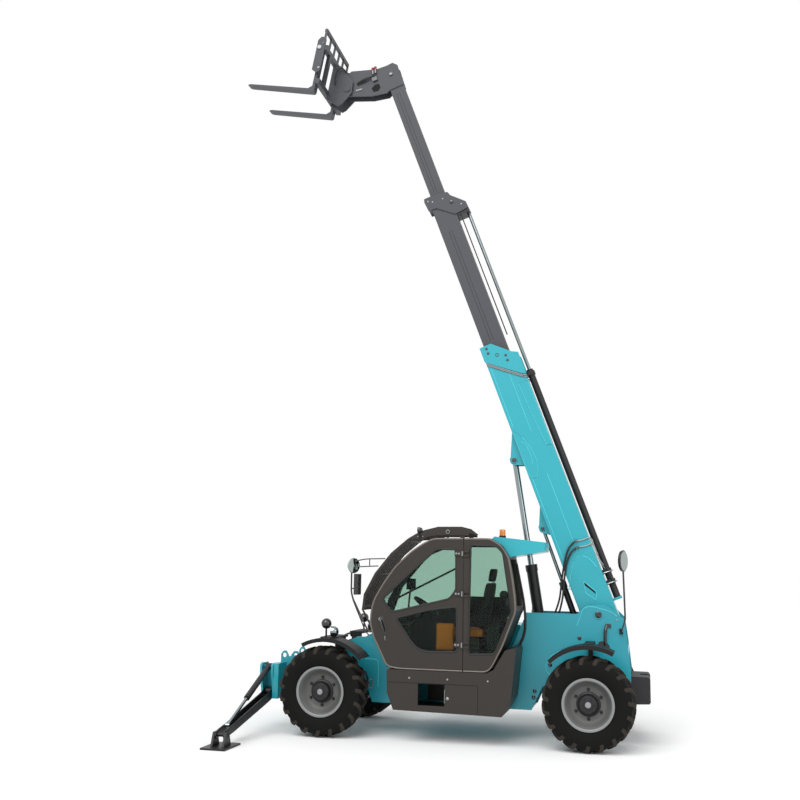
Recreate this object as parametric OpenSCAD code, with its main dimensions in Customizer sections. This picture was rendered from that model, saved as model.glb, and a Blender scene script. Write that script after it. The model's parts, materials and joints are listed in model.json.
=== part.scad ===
// Telescopic handler with a raised three-section boom, fork carriage and front stabilisers.
// Millimetres. X forward, Y left, Z up. X = 0 is half way between counterweight and fork tips.

/* [Wheels] */
// distance between the axles
wheelbase = 3470; // [3200:10:3700]
// distance between the left and right tyre middles
track = 1940; // [1880:10:2000]
// tyre radius over the lugs
tyre_r = 585; // [560:5:600]
// tyre width
tyre_w = 400; // [360:5:420]
// rim flange radius
rim_r = 325; // [310:1:335]
// tyre lug height
lug_h = 36; // [20:1:45]
// distance from a tyre's middle to its steering pin
kingpin_off = 230; // [220:1:240]

/* [Chassis] */
// outer face of the side plates from the middle
plate_y = 400; // [380:1:405]
// side plate thickness
plate_t = 25; // [20:1:30]
// underside of the belly
belly_z = 395; // [370:5:420]
// top of the plates behind the cab
deck_z = 1656; // [1620:1:1680]
// tow pin hole radius
hitch_r = 20; // [16:1:26]
// tie-down hole radius
tie_r = 30; // [24:1:32]
// rear face of the counterweight
tail_x = -2490; // [-2560:5:-2450]

/* [Cab] */
// inner side of the cab
cab_in = 285; // [275:1:300]
// outer side of the cab
cab_out = 1130; // [1110:1:1150]
// side panel thickness
side_t = 45; // [35:1:60]
// shell thickness of roof, rear and nose
shell_t = 36; // [25:1:45]
// glass thickness
glass_t = 8; // [6:1:12]
// gap around the door
door_gap = 6; // [5:1:8]

/* [Boom] */
// boom angle above level
boom_angle = 69.5; // [60:0.5:72]
// boom pivot, forward
pivot_x = -1840; // [-1880:5:-1800]
// boom pivot height
pivot_z = 1655; // [1640:1:1670]
// base section depth
base_d = 474; // [460:2:490]
// base section width
base_w = 340; // [330:2:350]
// middle section depth
mid_d = 320; // [310:2:330]
// middle section width
mid_w = 244; // [236:2:250]
// tip section depth
tip_d = 220; // [212:2:226]
// tip section width
tip_w = 164; // [158:2:168]
// wall of the three sections
wall = 10; // [8:1:12]
// length from the pivot to the base section's collar
base_len = 4030; // [3950:5:4060]
// reach from the pivot to the middle section's head
mid_reach = 6507; // [6450:5:6560]
// reach from the pivot to the tip section's shoulder
tip_reach = 8440; // [8400:5:8480]

/* [Carriage] */
// tilt of the fork blades at rest
fork_tilt = 10.4; // [6:0.2:14]
// fork blade length
fork_len = 1096; // [1000:4:1200]
// fork blade width
fork_w = 120; // [100:2:150]
// fork thickness at the heel
fork_t = 46; // [40:1:55]
// distance from the middle to each fork
fork_y = 460; // [400:5:470]

/* [Stabilisers] */
// leg plane, forward
leg_x = 2650; // [2630:5:2680]
// leg pivot from the middle
leg_y = 560; // [545:5:575]
// leg pivot height
leg_z = 490; // [480:2:500]
// pad pin from the middle
pad_y = 2200; // [2120:10:2240]
// pad pin height
pad_z = 150; // [140:2:160]

/* [Pins] */
// running clearance on a pin
pin_gap = 0.5; // [0.4:0.1:0.8]
// lift cylinder rod radius
lift_rod_r = 40; // [35:1:45]
// lift cylinder barrel radius
lift_r = 75; // [68:1:80]
// extension cylinder rod radius
ext_rod_r = 26; // [22:1:30]
// extension cylinder barrel radius
ext_r = 48; // [44:1:54]

/* [Hidden] */
$fn = 64;
// seating gap between a piece and what carries it
seat_gap = 0.3;
axle_x = wheelbase / 2;
kingpin_y = track / 2 - kingpin_off;
plate_in = plate_y - plate_t;
bc = cos(boom_angle);
bs = sin(boom_angle);
// a point of the boom's own plane (s along, n up) in the machine's X and Z
function bx(s, n) = pivot_x + s * bc - n * bs;
function bz(s, n) = pivot_z + s * bs + n * bc;
mid_n = -28;
tip_n = -33;
// carriage pivot in the boom's plane, and the fork heel in the carriage's own plane
tilt_s = tip_reach + 280;
tilt_n = -760;
tilt_x = bx(tilt_s, tilt_n);
tilt_z = bz(tilt_s, tilt_n);
heel_a = 365;
heel_b = -269;
fork_tip_x = tilt_x + (heel_a + fork_len) * cos(fork_tilt) - heel_b * sin(fork_tilt);
origin_x = (fork_tip_x + tail_x) / 2;
rim_bead = tyre_w / 2 - 32;
bead_r = rim_r - 20;
lift_b = [-1150, 750];
lift_e = [2354, -350];
level_b = [-1600, 1335];
level_e = [1327, -316];
leg_t = [625, 830];
leg_e = [2000, 235];
turq = [0.16, 0.56, 0.62];
dark = [0.16, 0.16, 0.17];
brown = [0.25, 0.23, 0.21];
steel = [0.62, 0.63, 0.64];
black = [0.06, 0.06, 0.065];

module place() translate([-origin_x, 0, 0]) children();
// draws a side-view outline (X, Z) as a plate from y0 to y1
module side(pts, y0, y1) translate([0, y1, 0]) rotate([90, 0, 0]) linear_extrude(y1 - y0) polygon(pts);
// draws a front-view outline (Y, Z) as a plate from x0 to x1
module front(pts, x0, x1) translate([x0, 0, 0]) rotate([90, 0, 90]) linear_extrude(x1 - x0) polygon(pts);
// a round bar along Y at X, Z
module bar_y(p, r, y0, y1) translate([p[0], y1, p[1]]) rotate([90, 0, 0]) cylinder(r = r, h = y1 - y0);
// a round bar along X at Y, Z
module bar_x(p, r, x0, x1) translate([x0, p[0], p[1]]) rotate([0, 90, 0]) cylinder(r = r, h = x1 - x0);
// a round bar between two points
module rod(a, b, r) {
    d = b - a;
    translate(a) rotate([0, acos(d[2] / norm(d)), atan2(d[1], d[0])]) cylinder(r = r, h = norm(d));
}
// a box from one corner to the other
module box(a, b) translate(a) cube(b - a);
module both() {
    children();
    mirror([0, 1, 0]) children();
}
module boom() translate([pivot_x, 0, pivot_z]) rotate([0, -boom_angle, 0]) children();
module tilt() translate([tilt_x, 0, tilt_z]) rotate([0, -fork_tilt, 0]) children();
// unit normal of a polyline's step, and the polyline moved sideways by t
function unit(v) = v / norm(v);
function turn(v) = [-v[1], v[0]];
function nrm(p, i) = unit(turn(unit(p[min(i + 1, len(p) - 1)] - p[min(i, len(p) - 2)])
    + unit(p[max(i, 1)] - p[max(i - 1, 0)])));
function shifted(p, t) = [for (i = [0:len(p) - 1]) p[i] + nrm(p, i) * t];
function back(p) = [for (i = [len(p) - 1:-1:0]) p[i]];
// a strip between a polyline moved by t0 and moved by t1, whole or from point i to point j
function band(p, t0, t1) = concat(shifted(p, t0), back(shifted(p, t1)));
function part(p, i, j) = [for (k = [i:j]) p[k]];
// a polyline cut short by the seating gap at both ends
function clipped(p) = [for (i = [0:len(p) - 1]) p[i] + (i == 0 ? unit(p[1] - p[0]) : i == len(p) - 1
    ? unit(p[i - 1] - p[i]) : [0, 0]) * seat_gap];
function strip(p, i, j, t0, t1) = concat(part(shifted(p, t0), i, j), back(part(shifted(p, t1), i, j)));

// cab outline, from the sill's front corner over the roof to the sill's rear corner
sill_z = 918;
cab_line = [[701, sill_z], [840, 944], [1031, 1310], [1080, 1476], [1075, 1630], [1042, 1785], [930, 1984],
    [758, 2227], [541, 2429], [368, 2544], [239, 2605], [-508, 2612], [-659, 2517], [-744, 2379],
        [-787, 2160],
    [-828, 1888], [-842, 1685], [-814, 1629], [-663, 1234], [-526, 974], [-458, sill_z]];
// where the nose, the windscreen, the roof and the rear wall end on that outline
nose_end = 3;
screen_end = 9;
roof_end = 11;
tail_end = 20;
post_x = -163;
door_low = [[729, 1563], [310, 1679], [-75, 1731], [-81, 1158], [331, 1150], [447, 1193], [535, 1286]];
door_high = [[918, 1808], [789, 1637], [25, 1825], [-66, 1943], [-60, 2466], [199, 2469], [567, 2135]];
quarter = [[-249, 2525], [-589, 2516], [-674, 2434], [-787, 1684], [-570, 1150], [-232, 1137]];
right_pane = [[760, 1250], [960, 1480], [955, 1640], [840, 1950], [480, 2380], [190, 2510], [-500, 2515],
    [-640, 2380], [-745, 1690], [-560, 1240]];

// tie-down holes
tie_x = [2345, 2510];
tie_z = 972;
module frame_plate() difference() {
    side([[2560, belly_z + 15], [2250, belly_z + 15], [2130, 705], [1340, 705], [1221, belly_z],
        [-957, belly_z], [-1100, 705], [-2130, 705], [-2200, 560], [-2247, 560], [-2247, 939], [-2203,
            1343],
        [-2165, 1602], [-2050, 1715], [-1910, 1785], [-1694, 1775], [-1560, deck_z], [-875, deck_z],
        [-875, 1610], [-715, 1234], [-610, 1000], [-540, 885], [900, 885], [1095, 1262], [1450, 1262],
        [2050, 960], [2240, 900], [2285, 985], [2320, 1030], [2370, 1030], [2405, 985], [2425, 935],
        [2440, 935], [2458, 985], [2488, 1035], [2530, 1030], [2560, 985], [2560, 880]], plate_in, plate_y);
    for (x = tie_x) bar_y([x, tie_z], tie_r, plate_in - 1, plate_y + 1);
}

// one side plate with its boom pivot bosses
module side_plate() {
    frame_plate();
    bar_y([pivot_x, pivot_z], 62, plate_y - 5, plate_y + 8);
    bar_y([pivot_x, pivot_z], 110, boss_in, plate_in + 5);
}
boss_in = base_w / 2 + 8;
cross_y = plate_in - seat_gap;
module plate_left() color(turq) place() side_plate();
module plate_right() color(turq) place() mirror([0, 1, 0]) side_plate();
// what joins the side plates: pins, belly, bulkheads and the front box
module frame() color(turq) place() {
    bar_y([pivot_x, pivot_z], 50, -boss_in + seat_gap, boss_in - seat_gap);
    bar_y(lift_b, 40, -cross_y, cross_y);
    bar_y(level_b, 30, -cross_y, cross_y);
    box([-950, -cross_y, belly_z], [1215, cross_y, belly_z + 20]);
    box([1120, -cross_y, 705], [1145, cross_y, 1150]);
    box([1340, -cross_y, 760], [2100, cross_y, 785]);
    box([-2100, -cross_y, 760], [-1450, cross_y, 785]);
    box([-2215, -cross_y, 600], [-2190, cross_y, 1250]);
    box([2482, -cross_y, 410], [2560, cross_y, 880]);
    both() front_box();
}
module front_box() {
    box([2482, plate_y + seat_gap, 410], [2562, 700, 880]);
    leg_lug(leg_x - 95, leg_x - 65);
    leg_lug(leg_x + 65, leg_x + 95);
    box([2555, 460, 425], [leg_x + 95, 485, 860]);
    bar_x([leg_y, leg_z], 32, leg_x - 95, leg_x + 95);
    bar_x(leg_t, 24, leg_x - 95, leg_x + 95);
}
module leg_lug(x0, x1) front([[470, 410], [620, 410], [720, 740], [720, 850], [690, 880], [470, 880]],
    x0, x1);

// low inner corner and size of a tail lamp in its pocket
tail_lamp = [tail_x, 290, 700];
tail_lamp_size = [30, 90, 110];
module counterweight() color(dark) place() difference() {
    side([[-2247, 560], [-2247, 880], [tail_x + 30, 878], [tail_x + 8, 862], [tail_x, 835], [tail_x, 565],
        [tail_x + 15, 540], [-2290, 530]], -395, 395);
    both() translate(tail_lamp) box([-1, 0, 0], tail_lamp_size);
    box([tail_x - 1, -90, 840], [tail_x + 130, 90, 1100]);
    box([tail_x - 1, -90, 500], [tail_x + 130, 90, 650]);
    box([tail_x - 1, -90, 700], [tail_x + 130, 90, 790]);
    translate([tail_x + 60, 0, 600]) cylinder(r = hitch_r, h = 300);
}

module axle(sx) translate([sx * axle_x, 0, tyre_r]) {
    union() {
        bar_y([0, 0], 80, -kingpin_y + 125, kingpin_y - 125);
        sphere(r = 165);
        bar_y([0, 0], 120, -230, 230);
        both() {
            box([-100, plate_in - 10, 60], [100, plate_y + 10, 705 - tyre_r]);
            box([-60, kingpin_y - 130, -165], [60, kingpin_y - 95, 165]);
            for (m = [0, 1]) mirror([0, 0, m]) {
                box([-60, kingpin_y - 130, 130], [60, kingpin_y + 5, 165]);
                translate([0, kingpin_y, 130]) cylinder(r = 60, h = 35);
            }
        }
    }
}
module front_axle() color(dark) place() axle(1);
module rear_axle() color(dark) place() axle(-1);

module arc(cx, r, t, a0, a1, y0, y1) side(concat([for (i = [0:12]) let (a = a0 + (a1 - a0) * i / 12)
    [cx + r * cos(a), tyre_r + r * sin(a)]], [for (i = [12:-1:0]) let (a = a0 + (a1 - a0) * i / 12)
    [cx + (r + t) * cos(a), tyre_r + (r + t) * sin(a)]]), y0, y1);
front_fender_r = tyre_r + 95;
rear_fender_r = tyre_r + 122;
fender_top = tyre_r + front_fender_r + 18;
// a fender with a lip along its outer edge
module fender(cx, r, a0, a1) {
    arc(cx, r, 12, a0, a1, track / 2 - 190, track / 2 + 185);
    arc(cx, r - 40, 47, a0, a1, track / 2 + 173, track / 2 + 185);
}
// the shelf that holds a fender, with its foot on the side plate
module fender_shelf(x0, x1, top) {
    box([x0, plate_y + seat_gap, top - 28], [x1, track / 2 + 40, top]);
    box([x0 + 30, plate_y + seat_gap, top - 330], [x1 - 30, plate_y + 25, top]);
}
module fenders() color(black) place() both() {
    fender(axle_x - 45, front_fender_r, 62, 139);
    fender(-axle_x, rear_fender_r, 46, 117);
    fender_shelf(axle_x - 150, axle_x + 60, fender_top);
    fender_shelf(-axle_x - 60, -axle_x + 60, tyre_r + rear_fender_r + 18);
}

module cab_wall(i, j) side(strip(cab_line, i, j, 0, shell_t), cab_in + side_t, cab_out - side_t);
module cab_floor() color(brown) place() {
    side([[-456.5, sill_z], [701, sill_z], [701, sill_z + shell_t], [-427, sill_z + shell_t]], cab_in,
        cab_out - side_t);
    cab_wall(0, nose_end);
    for (x = [-400, 560]) box([x, plate_in + 1, 885 + seat_gap], [x + 110, plate_y - 1, sill_z + 5]);
}
hinges = [1250, 1895, 2410];
hinge_off = 14;
module cab_side() color(brown) place() {
    difference() {
        side(concat([[post_x, 2609]], part(cab_line, roof_end, tail_end), [[post_x, sill_z]]),
            cab_out - side_t, cab_out);
        side(quarter, 0, cab_out + 1);
    }
    for (z = hinges) translate([post_x, cab_out + hinge_off, z]) {
        translate([0, 0, -42]) cylinder(r = 7, h = 84);
        for (m = [0, 1]) mirror([0, 0, m]) {
            translate([0, 0, 16]) cylinder(r = 13, h = 26);
            box([-70, -hinge_off - 0.5, 16], [0, 6, 42]);
        }
    }
}
module cab_right() color(brown) place() difference() {
    side(cab_line, cab_in, cab_in + side_t);
    side(right_pane, 0, cab_out);
    box([-460, 0, 900], [702, cab_out, sill_z + shell_t]);
}
module cab_rear() color(brown) place() difference() {
    cab_wall(roof_end, tail_end);
    box([-1000, cab_in + 130, 1750], [-600, cab_out - 130, 2350]);
}
module cab_roof() color(brown) place() cab_wall(screen_end, roof_end);
module cab_door() color(brown) place() {
    difference() {
        side(concat([[post_x + door_gap, sill_z]], part(cab_line, 0, roof_end - 1),
            [[post_x + door_gap, 2608]]),
            cab_out - side_t + 0.6, cab_out);
        side(door_low, 0, cab_out + 1);
        side(door_high, 0, cab_out + 1);
    }
    for (z = hinges) translate([post_x, cab_out + hinge_off, z - 15]) difference() {
        union() {
            cylinder(r = 13, h = 30);
            box([door_gap + 1, -hinge_off - 0.5, 0], [100, 0, 30]);
            box([0, -hinge_off + 1, 0], [door_gap + 2, 0, 30]);
        }
        translate([0, 0, -1]) cylinder(r = 7 + pin_gap, h = 32);
    }
}
module door_glass() color([0.5, 0.65, 0.6, 0.4]) place() {
    side(door_low, cab_out - 26, cab_out - 26 + glass_t);
    side(door_high, cab_out - 26, cab_out - 26 + glass_t);
}
module cab_glass() color([0.5, 0.65, 0.6, 0.4]) place() {
    side(quarter, cab_out - 26, cab_out - 26 + glass_t);
    side(right_pane, cab_in + 18, cab_in + 18 + glass_t);
    side(concat(clipped(part(shifted(cab_line, 4), nose_end, screen_end)),
        back(clipped(part(shifted(cab_line, 4 + glass_t), nose_end, screen_end)))), cab_in + side_t,
            cab_out - side_t);
}
module cab_skirt() color(dark) place() difference() {
    side([[835, 912], [828, 626], [742, 408], [-664, 386], [-779, 587], [-845, 1207], [-807, 1234],
        [-701, 1200],
        [-560, 960], [-470, 912]], plate_y, cab_out + 20);
    side([[800, 880], [795, 630], [725, 445], [-640, 425], [-745, 600], [-800, 1150], [-740, 1150],
        [-590, 920], [-490, 880]], plate_y - 1, cab_out - 15);
    box([72, cab_out - 140, 480], [413, cab_out + 21, 757]);
}
guard_line = [[1215, 1650], [1192, 1858], [1047, 2138], [831, 2407], [601, 2600], [430, 2700], [194, 2759],
    [-123, 2762], [-224, 2685]];
// a point of the nose at a height
function nose(z) = [cab_line[2][0] + (z - cab_line[2][1]) * (cab_line[3][0] - cab_line[2][0])
    / (cab_line[3][1] - cab_line[2][1]), z];
guard_foot = [nose(1350), nose(1450)];
// solid cheek of the guard beside the roof
guard_cheek = [[590, 2590], [428, 2688], [192, 2747], [-120, 2750], [-212, 2680], [-212, 2646], [215,
    2644], [420, 2606]];
module front_guard() color(dark) place() {
    for (i = [0:6]) side(band(guard_line, 0, 30), cab_in + 60 + i * 118, cab_in + 60 + i * 118 + 14);
    for (y = [cab_in + 48, cab_in + 772]) side(guard_cheek, y, y + 14);
    for (p = [[1185, 1700], [1030, 2130], [600, 2570], [0, 2730]])
        box([p[0] - 11, cab_in + 45, p[1] - 11], [p[0] + 11, cab_in + 790, p[1] + 11]);
    for (y = [cab_in + 61, cab_in + 769]) {
        side(concat(shifted(guard_foot, -seat_gap), [[1190, 1660], [1216, 1660]]), y, y + 12);
        side([[-100, 2735], [-100, 2608.6], [-160, 2609.2], [-160, 2735]], y, y + 12);
    }
}
module roof_cowl() color(turq) place() side(concat(shifted(part(cab_line, roof_end, roof_end + 2),
    -seat_gap),
    [[-1197, 2456], cowl_top[1], cowl_top[0]]), 420, 980);

module seat() color([0.32, 0.2, 0.12]) place() {
    box([-400, 480, 1330], [80, 950, 1450]);
    box([-330, 560, sill_z + shell_t + seat_gap], [0, 870, 1330]);
    side([[-420, 1450], [-300, 1450], [-420, 2050], [-520, 2050]], 500, 930);
    side([[-430, 2050 + seat_gap], [-510, 2050 + seat_gap], [-540, 2230], [-460, 2230]], 590, 840);
}
module console() color(black) place() {
    box([560, 420, sill_z + shell_t + seat_gap], [680, 1020, 1480]);
    rod([600, 715, 1450], [410, 715, 1714], 30);
    translate([410, 715, 1714]) rotate([0, -35.8, 0]) rotate_extrude() translate([190,
        0]) circle(r = 16, $fn = 24);
    translate([410, 715, 1714]) rotate([0, -35.8, 0]) for (a = [0:120:240]) rotate([0, 0, a])
        rotate([0, 90, 0]) cylinder(r = 12, h = 188);
}

pod_top = 1180;
lid_gap = 6;
hood_x = 850;
hood_z = pod_top + lid_gap;
module engine_pod() color(turq) place() mirror([0, 1, 0]) {
    difference() {
        side([[830, pod_top], [828, 626], [742, 440], [-664, 440], [-779, 587], [-820, pod_top]],
            plate_y, cab_out + 20);
        side([[800, 1200], [798, 640], [725, 475], [-645, 475], [-745, 600], [-788, 1200]],
            plate_y + 30, cab_out - 10);
        for (i = [0:9]) box([-500 + i * 100, cab_out - 30, 700], [-440 + i * 100, cab_out + 30, 1050]);
    }
    for (y = [520, 1000]) {
        bar_y([hood_x, hood_z], 9, y, y + 60);
        box([825, y, hood_z - 40], [hood_x + 9, y + 16, hood_z]);
    }
}
module engine_hood() color(turq) place() mirror([0, 1, 0]) {
    difference() {
        side([[830, hood_z], [780, 1400], [700, 1450], [-700, 1450], [-780, 1400], [-820, hood_z]],
            plate_y + lid_gap, cab_out + 20);
        side([[800, 1180], [755, 1380], [690, 1420], [-690, 1420], [-755, 1380], [-790, 1180]],
            plate_y + 30, cab_out - 10);
    }
    for (y = [520, 1000]) difference() {
        union() {
            bar_y([hood_x, hood_z], 16, y + 22, y + 54);
            side([[822, hood_z + 4], [hood_x, hood_z + 4], [hood_x, hood_z + 16], [815, hood_z + 40]],
                y + 22, y + 54);
        }
        bar_y([hood_x, hood_z], 9 + pin_gap, y, y + 70);
    }
}
module engine_block() color(dark) place() mirror([0, 1, 0]) {
    box([-560, 520, 475], [420, 980, 1000]);
    box([-500, 600, 1000], [300, 900, 1180]);
}
module exhaust() color(dark) place() mirror([0, 1, 0]) {
    rod([-900, 700, 960], [-900, 700, 1700], 55);
    box([-940, plate_y, 940], [-860, 760, 975]);
}
// height of the cowl's sloping top
cowl_top = [[-540, 2643], [-1198, 2574]];
cowl_slope = (cowl_top[1][1] - cowl_top[0][1]) / (cowl_top[1][0] - cowl_top[0][0]);
function cowl_z(x) = cowl_top[0][1] + (x - cowl_top[0][0]) * cowl_slope;
lamp_x = axle_x - 120;
ball_x = axle_x - 2;
module lamps() color(steel) place() {
    both() {
        translate([lamp_x, track / 2 - 20, fender_top]) box([-14, -14, seat_gap], [14, 14, 20]);
        bar_x([track / 2 - 20, fender_top + 72], 70, lamp_x - 35, lamp_x + 45);
        rod([ball_x, track / 2 - 20, fender_top + seat_gap], [ball_x, track / 2 - 20,
            fender_top + 120], 12);
        translate([ball_x, track / 2 - 20, fender_top + 172]) sphere(r = 70);
        translate(tail_lamp) box([1, seat_gap, seat_gap], tail_lamp_size - seat_gap * [1, 1, 1]);
    }
    side([[-640, cowl_z(-640) + seat_gap], [-550, cowl_z(-550) + seat_gap], [-550, cowl_z(-550) + 14],
        [-640, cowl_z(-550) + 14]], 560, 650);
    translate([-595, 605, cowl_z(-550) + 8]) cylinder(r = 40, h = 100);
}
module mirrors() color(black) place() {
    box([-2150, plate_y + seat_gap, 1415], [-2110, plate_y + 24, 1480]);
    box([-2142, plate_y + 12, 1432], [-2118, 612, 1456]);
    side([[-2142, 1432], [-2118, 1432], [-2185, 1640], [-2160, 2240], [-2184, 2240], [-2210, 1640]],
        588, 612);
    translate([-2165, 610, 2357]) rotate([0, 0, -35]) box([-30, -90, -141], [30, 90, 142]);
    side(concat(shifted([nose(1327), nose(1429)], -seat_gap), [[1130, 1410], [1110, 1320]]), mirror_y,
        cab_out - side_t);
    side([[1080, 1370], [1112, 1358], [1372, 1850], [1375, 2270], [stalk_x, 2270], [1348, 1860]],
        mirror_y, mirror_y + 14);
    side([[1358, 1890], [1358, 1930], [1270, 1960], [1270, 1920]], mirror_y, mirror_y + 14);
    box([1235, mirror_y - 30, 1850], [1290, cab_out + 90, 2125]);
    rod(dish, dish + 30 * dish_axis, 100);
}
mirror_y = cab_in + 785;
// round mirror: its back rests on the stalk's corner and it looks back and outward
stalk_x = 1351;
dish_axis = [-0.8, 0.6, 0];
dish = [stalk_x, mirror_y + 14, 2230] + seat_gap * dish_axis;

module tube(s0, s1, w, d, n0, t) difference() {
    box([s0, -w / 2, n0 - d / 2], [s1, w / 2, n0 + d / 2]);
    box([s0 - 1, -w / 2 + t, n0 - d / 2 + t], [s1 + 1, w / 2 - t, n0 + d / 2 - t]);
}
pad_gap = 0.8;
module boom_base() color(turq) place() boom() {
    difference() {
        union() {
            tube(-170, base_len - 20, base_w, base_d, 0, wall);
            both() {
                side([[base_len - 220, -base_d / 2 - 12], [base_len, -base_d / 2 - 12], [base_len + 5, -75],
                    [base_len - 210, 160], [base_len - 255, base_d / 2 + 12], [base_len - 590,
                        base_d / 2 + 12],
                    [base_len - 560, 180]], base_w / 2 - 4, base_w / 2 + 14);
                side([[2242, -base_d / 2 + 5], [2290, -380], [2330, -410], [2380, -410], [2420, -380],
                    [2757, -base_d / 2 + 5]], 75, 100);
                side([[1200, -base_d / 2 + 5], [1270, -340], [1300, -366], [1360, -366], [1400, -340],
                    [1650, -base_d / 2 + 5]], 55, 75);
                bar_y(lift_e, 46, 92, 112);
                bar_y(level_e, 32, 70, 88);
                side([[-165, -225], [500, -225], [544, -198], [792, -45], [807, 50], [789, 75], [500, 225],
                    [-165, 225]], base_w / 2 - 4, base_w / 2 + 6);
            }
            bar_y([0, 0], 105, -base_w / 2 - 4, base_w / 2 + 4);
            pads(base_len - 460, base_len - 260, base_w - 2 * wall, base_d - 2 * wall, 0, mid_w, mid_d,
                mid_n);
        }
        bar_y([0, 0], 50 + pin_gap, -base_w, base_w);
        side([[base_len + 5, -75], [base_len + 60, -75], [base_len + 60, base_d], [base_len - 300, base_d],
            [base_len - 255, base_d / 2 + 12], [base_len - 210, 160]], -base_w, base_w);
    }
}
// wear pads that fill the space between an outer tube and the section inside it
module pads(s0, s1, ow, od, on, iw, id, nn) difference() {
    box([s0, -ow / 2 - 2, on - od / 2 - 2], [s1, ow / 2 + 2, on + od / 2 + 2]);
    box([s0 - 1, -iw / 2 - pad_gap, nn - id / 2 - pad_gap], [s1 + 1, iw / 2 + pad_gap,
        nn + id / 2 + pad_gap]);
    for (a = [0, 1]) for (b = [0, 1]) mirror([0, a, 0]) translate([0, 0, on]) mirror([0, 0, b])
        box([s0 - 1, iw / 2 - 40, id / 2 - 70], [s1 + 1, ow / 2 - 0, od / 2 - 0]);
}
ext_n = base_d / 2 + 64;
module extension_barrel() color(dark) place() boom() {
    difference() {
        union() {
            translate([110, 0, ext_n]) rotate([0, 90, 0]) cylinder(r = ext_r, h = 3400);
            for (s = [320, 470, 3420]) {
                translate([s, 0, ext_n]) rotate([0, 90, 0]) cylinder(r = ext_r + 14, h = 60);
                box([s, -70, base_d / 2], [s + 60, 70, ext_n]);
            }
        }
        translate([200, 0, ext_n]) rotate([0, 90, 0]) cylinder(r = ext_rod_r + pin_gap, h = 4000);
    }
}
module extension_rod() color(steel) place() boom()
    translate([2500, 0, ext_n]) rotate([0, 90, 0]) cylinder(r = ext_rod_r, h = mid_reach - 2500 - 440);
mid_tail = 2050;
module boom_mid() color(dark) place() boom() difference() {
    union() {
        tube(mid_tail, mid_reach - 100, mid_w, mid_d, mid_n, wall);
        both() side([[mid_reach - 199, -243], [mid_reach - 62, -257], [mid_reach - 1, -245],
            [mid_reach, -150], [mid_reach - 18, 33], [mid_reach - 41, 123], [mid_reach - 104, 143],
            [mid_reach - 208, 246], [mid_reach - 290, ext_n + 24], [mid_reach - 390, ext_n + 30],
            [mid_reach - 410, 113], [mid_reach - 213, -117]], mid_w / 2 - 4, mid_w / 2 + 16);
        box([mid_reach - 440, -mid_w / 2, 125], [mid_reach - 300, mid_w / 2, ext_n + 20]);
        box([mid_reach - 180, -mid_w / 2, -230], [mid_reach - 20, mid_w / 2, -mid_d / 2 + mid_n + 2]);
        pads(mid_reach - 290, mid_reach - 100, mid_w - 2 * wall, mid_d - 2 * wall, mid_n, tip_w, tip_d,
            tip_n);
    }
}
tip_tail = 4060;
module boom_tip() color(dark) place() boom() difference() {
    union() {
        tube(tip_tail, tip_reach + 40, tip_w, tip_d, tip_n, wall);
        both() side([[tip_reach - 25, 84], [tip_reach + 317, 100], [tip_reach + 385, 40],
            [tip_reach + 381, -63],
            [tip_reach + 397, -228], [tip_reach + 540, -600], [tip_reach + 500, -740], [tilt_s + 100,
                tilt_n - 70],
            [tilt_s, tilt_n - 105], [tilt_s - 100, tilt_n - 50], [tip_reach + 10, -443],
                [tip_reach - 50, -200],
            [tip_reach - 25, -150]], tip_w / 2 - 4, tip_w / 2 + 14);
        box([tip_reach + 300, -tip_w / 2, -140], [tip_reach + 330, tip_w / 2, 90]);
        box([tip_reach + 20, -tip_w / 2, 60], [tip_reach + 310, tip_w / 2, 84]);
        bar_y(tilt_b, 22, -tip_w / 2, tip_w / 2);
        bar_y([tilt_s, tilt_n], 60, tip_w / 2 - 4, tip_w / 2 + 22);
    }
    bar_y([tilt_s, tilt_n], 35 + pin_gap, -200, 200);
}
coupler_y = tip_w / 2 + 30;
module carriage() color(dark) place() tilt() union() {
    both() {
        side([[300, 400], [138, 344], [-76, 119], [-90, -60], [35, -250], [90, -290], [300, -200]],
            coupler_y, coupler_y + 22);
        side([[320, 60], [365, 20], [450, 60], [450, 540], [405, 600], [340, 600], [320, 560]], 555, 577);
        box([332, 555, 560], [362, 577, 735]);
        bar_y([0, 0], 55, coupler_y + 20, coupler_y + 34);
    }
    bar_y([0, 0], 35, -coupler_y - 5, coupler_y + 5);
    box([290, -570, 400], [heel_a - 1, 570, 470]);
    box([290, -570, -150], [heel_a - 1, 570, -70]);
    box([330, -570, 690], [375, 570, 735]);
    for (y = [-330, -110, 110, 330]) box([330, y - 12, 465], [360, y + 12, 695]);
    for (y = [-330, 330]) box([290, y - 40, -80], [340, y + 40, 410]);
    both() side([[-50, -20], [10, 265], [35, 295], [85, 295], [110, 250], [50, -20]], 42, 58);
    bar_y([0, 0], 58, -58, 58);
}
module forks() color(dark) place() tilt() both() {
    side([[heel_a, heel_b + 20], [heel_a + 20, heel_b], [heel_a + fork_len - 50, heel_b + 2],
        [heel_a + fork_len, heel_b + 12], [heel_a + fork_len, heel_b + 24],
        [heel_a + fork_len - 40, heel_b + 36], [heel_a + fork_t + 60, heel_b + fork_t + 4],
        [heel_a + fork_t, heel_b + fork_t + 50], [heel_a + fork_t, 500], [heel_a - 70, 500],
            [heel_a - 70, 471],
        [heel_a, 471]], fork_y - fork_w / 2, fork_y + fork_w / 2);
}
// tilt cylinder: its pin in the tip head and its eye on the carriage's crank
tilt_b = [tip_reach + 60, -20];
crank = [60, 250];
tilt_e = [tilt_s + crank[0] * cos(fork_tilt - boom_angle) - crank[1] * sin(fork_tilt - boom_angle),
    tilt_n + crank[0] * sin(fork_tilt - boom_angle) + crank[1] * cos(fork_tilt - boom_angle)];
module tilt_barrel() color(dark) place() boom() barrel(tilt_b, tilt_e, 480, 42, 22, 22, 45);
module tilt_rod() color(steel) place() boom() piston(tilt_b, tilt_e, 380, 22, 18, 34);

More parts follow.
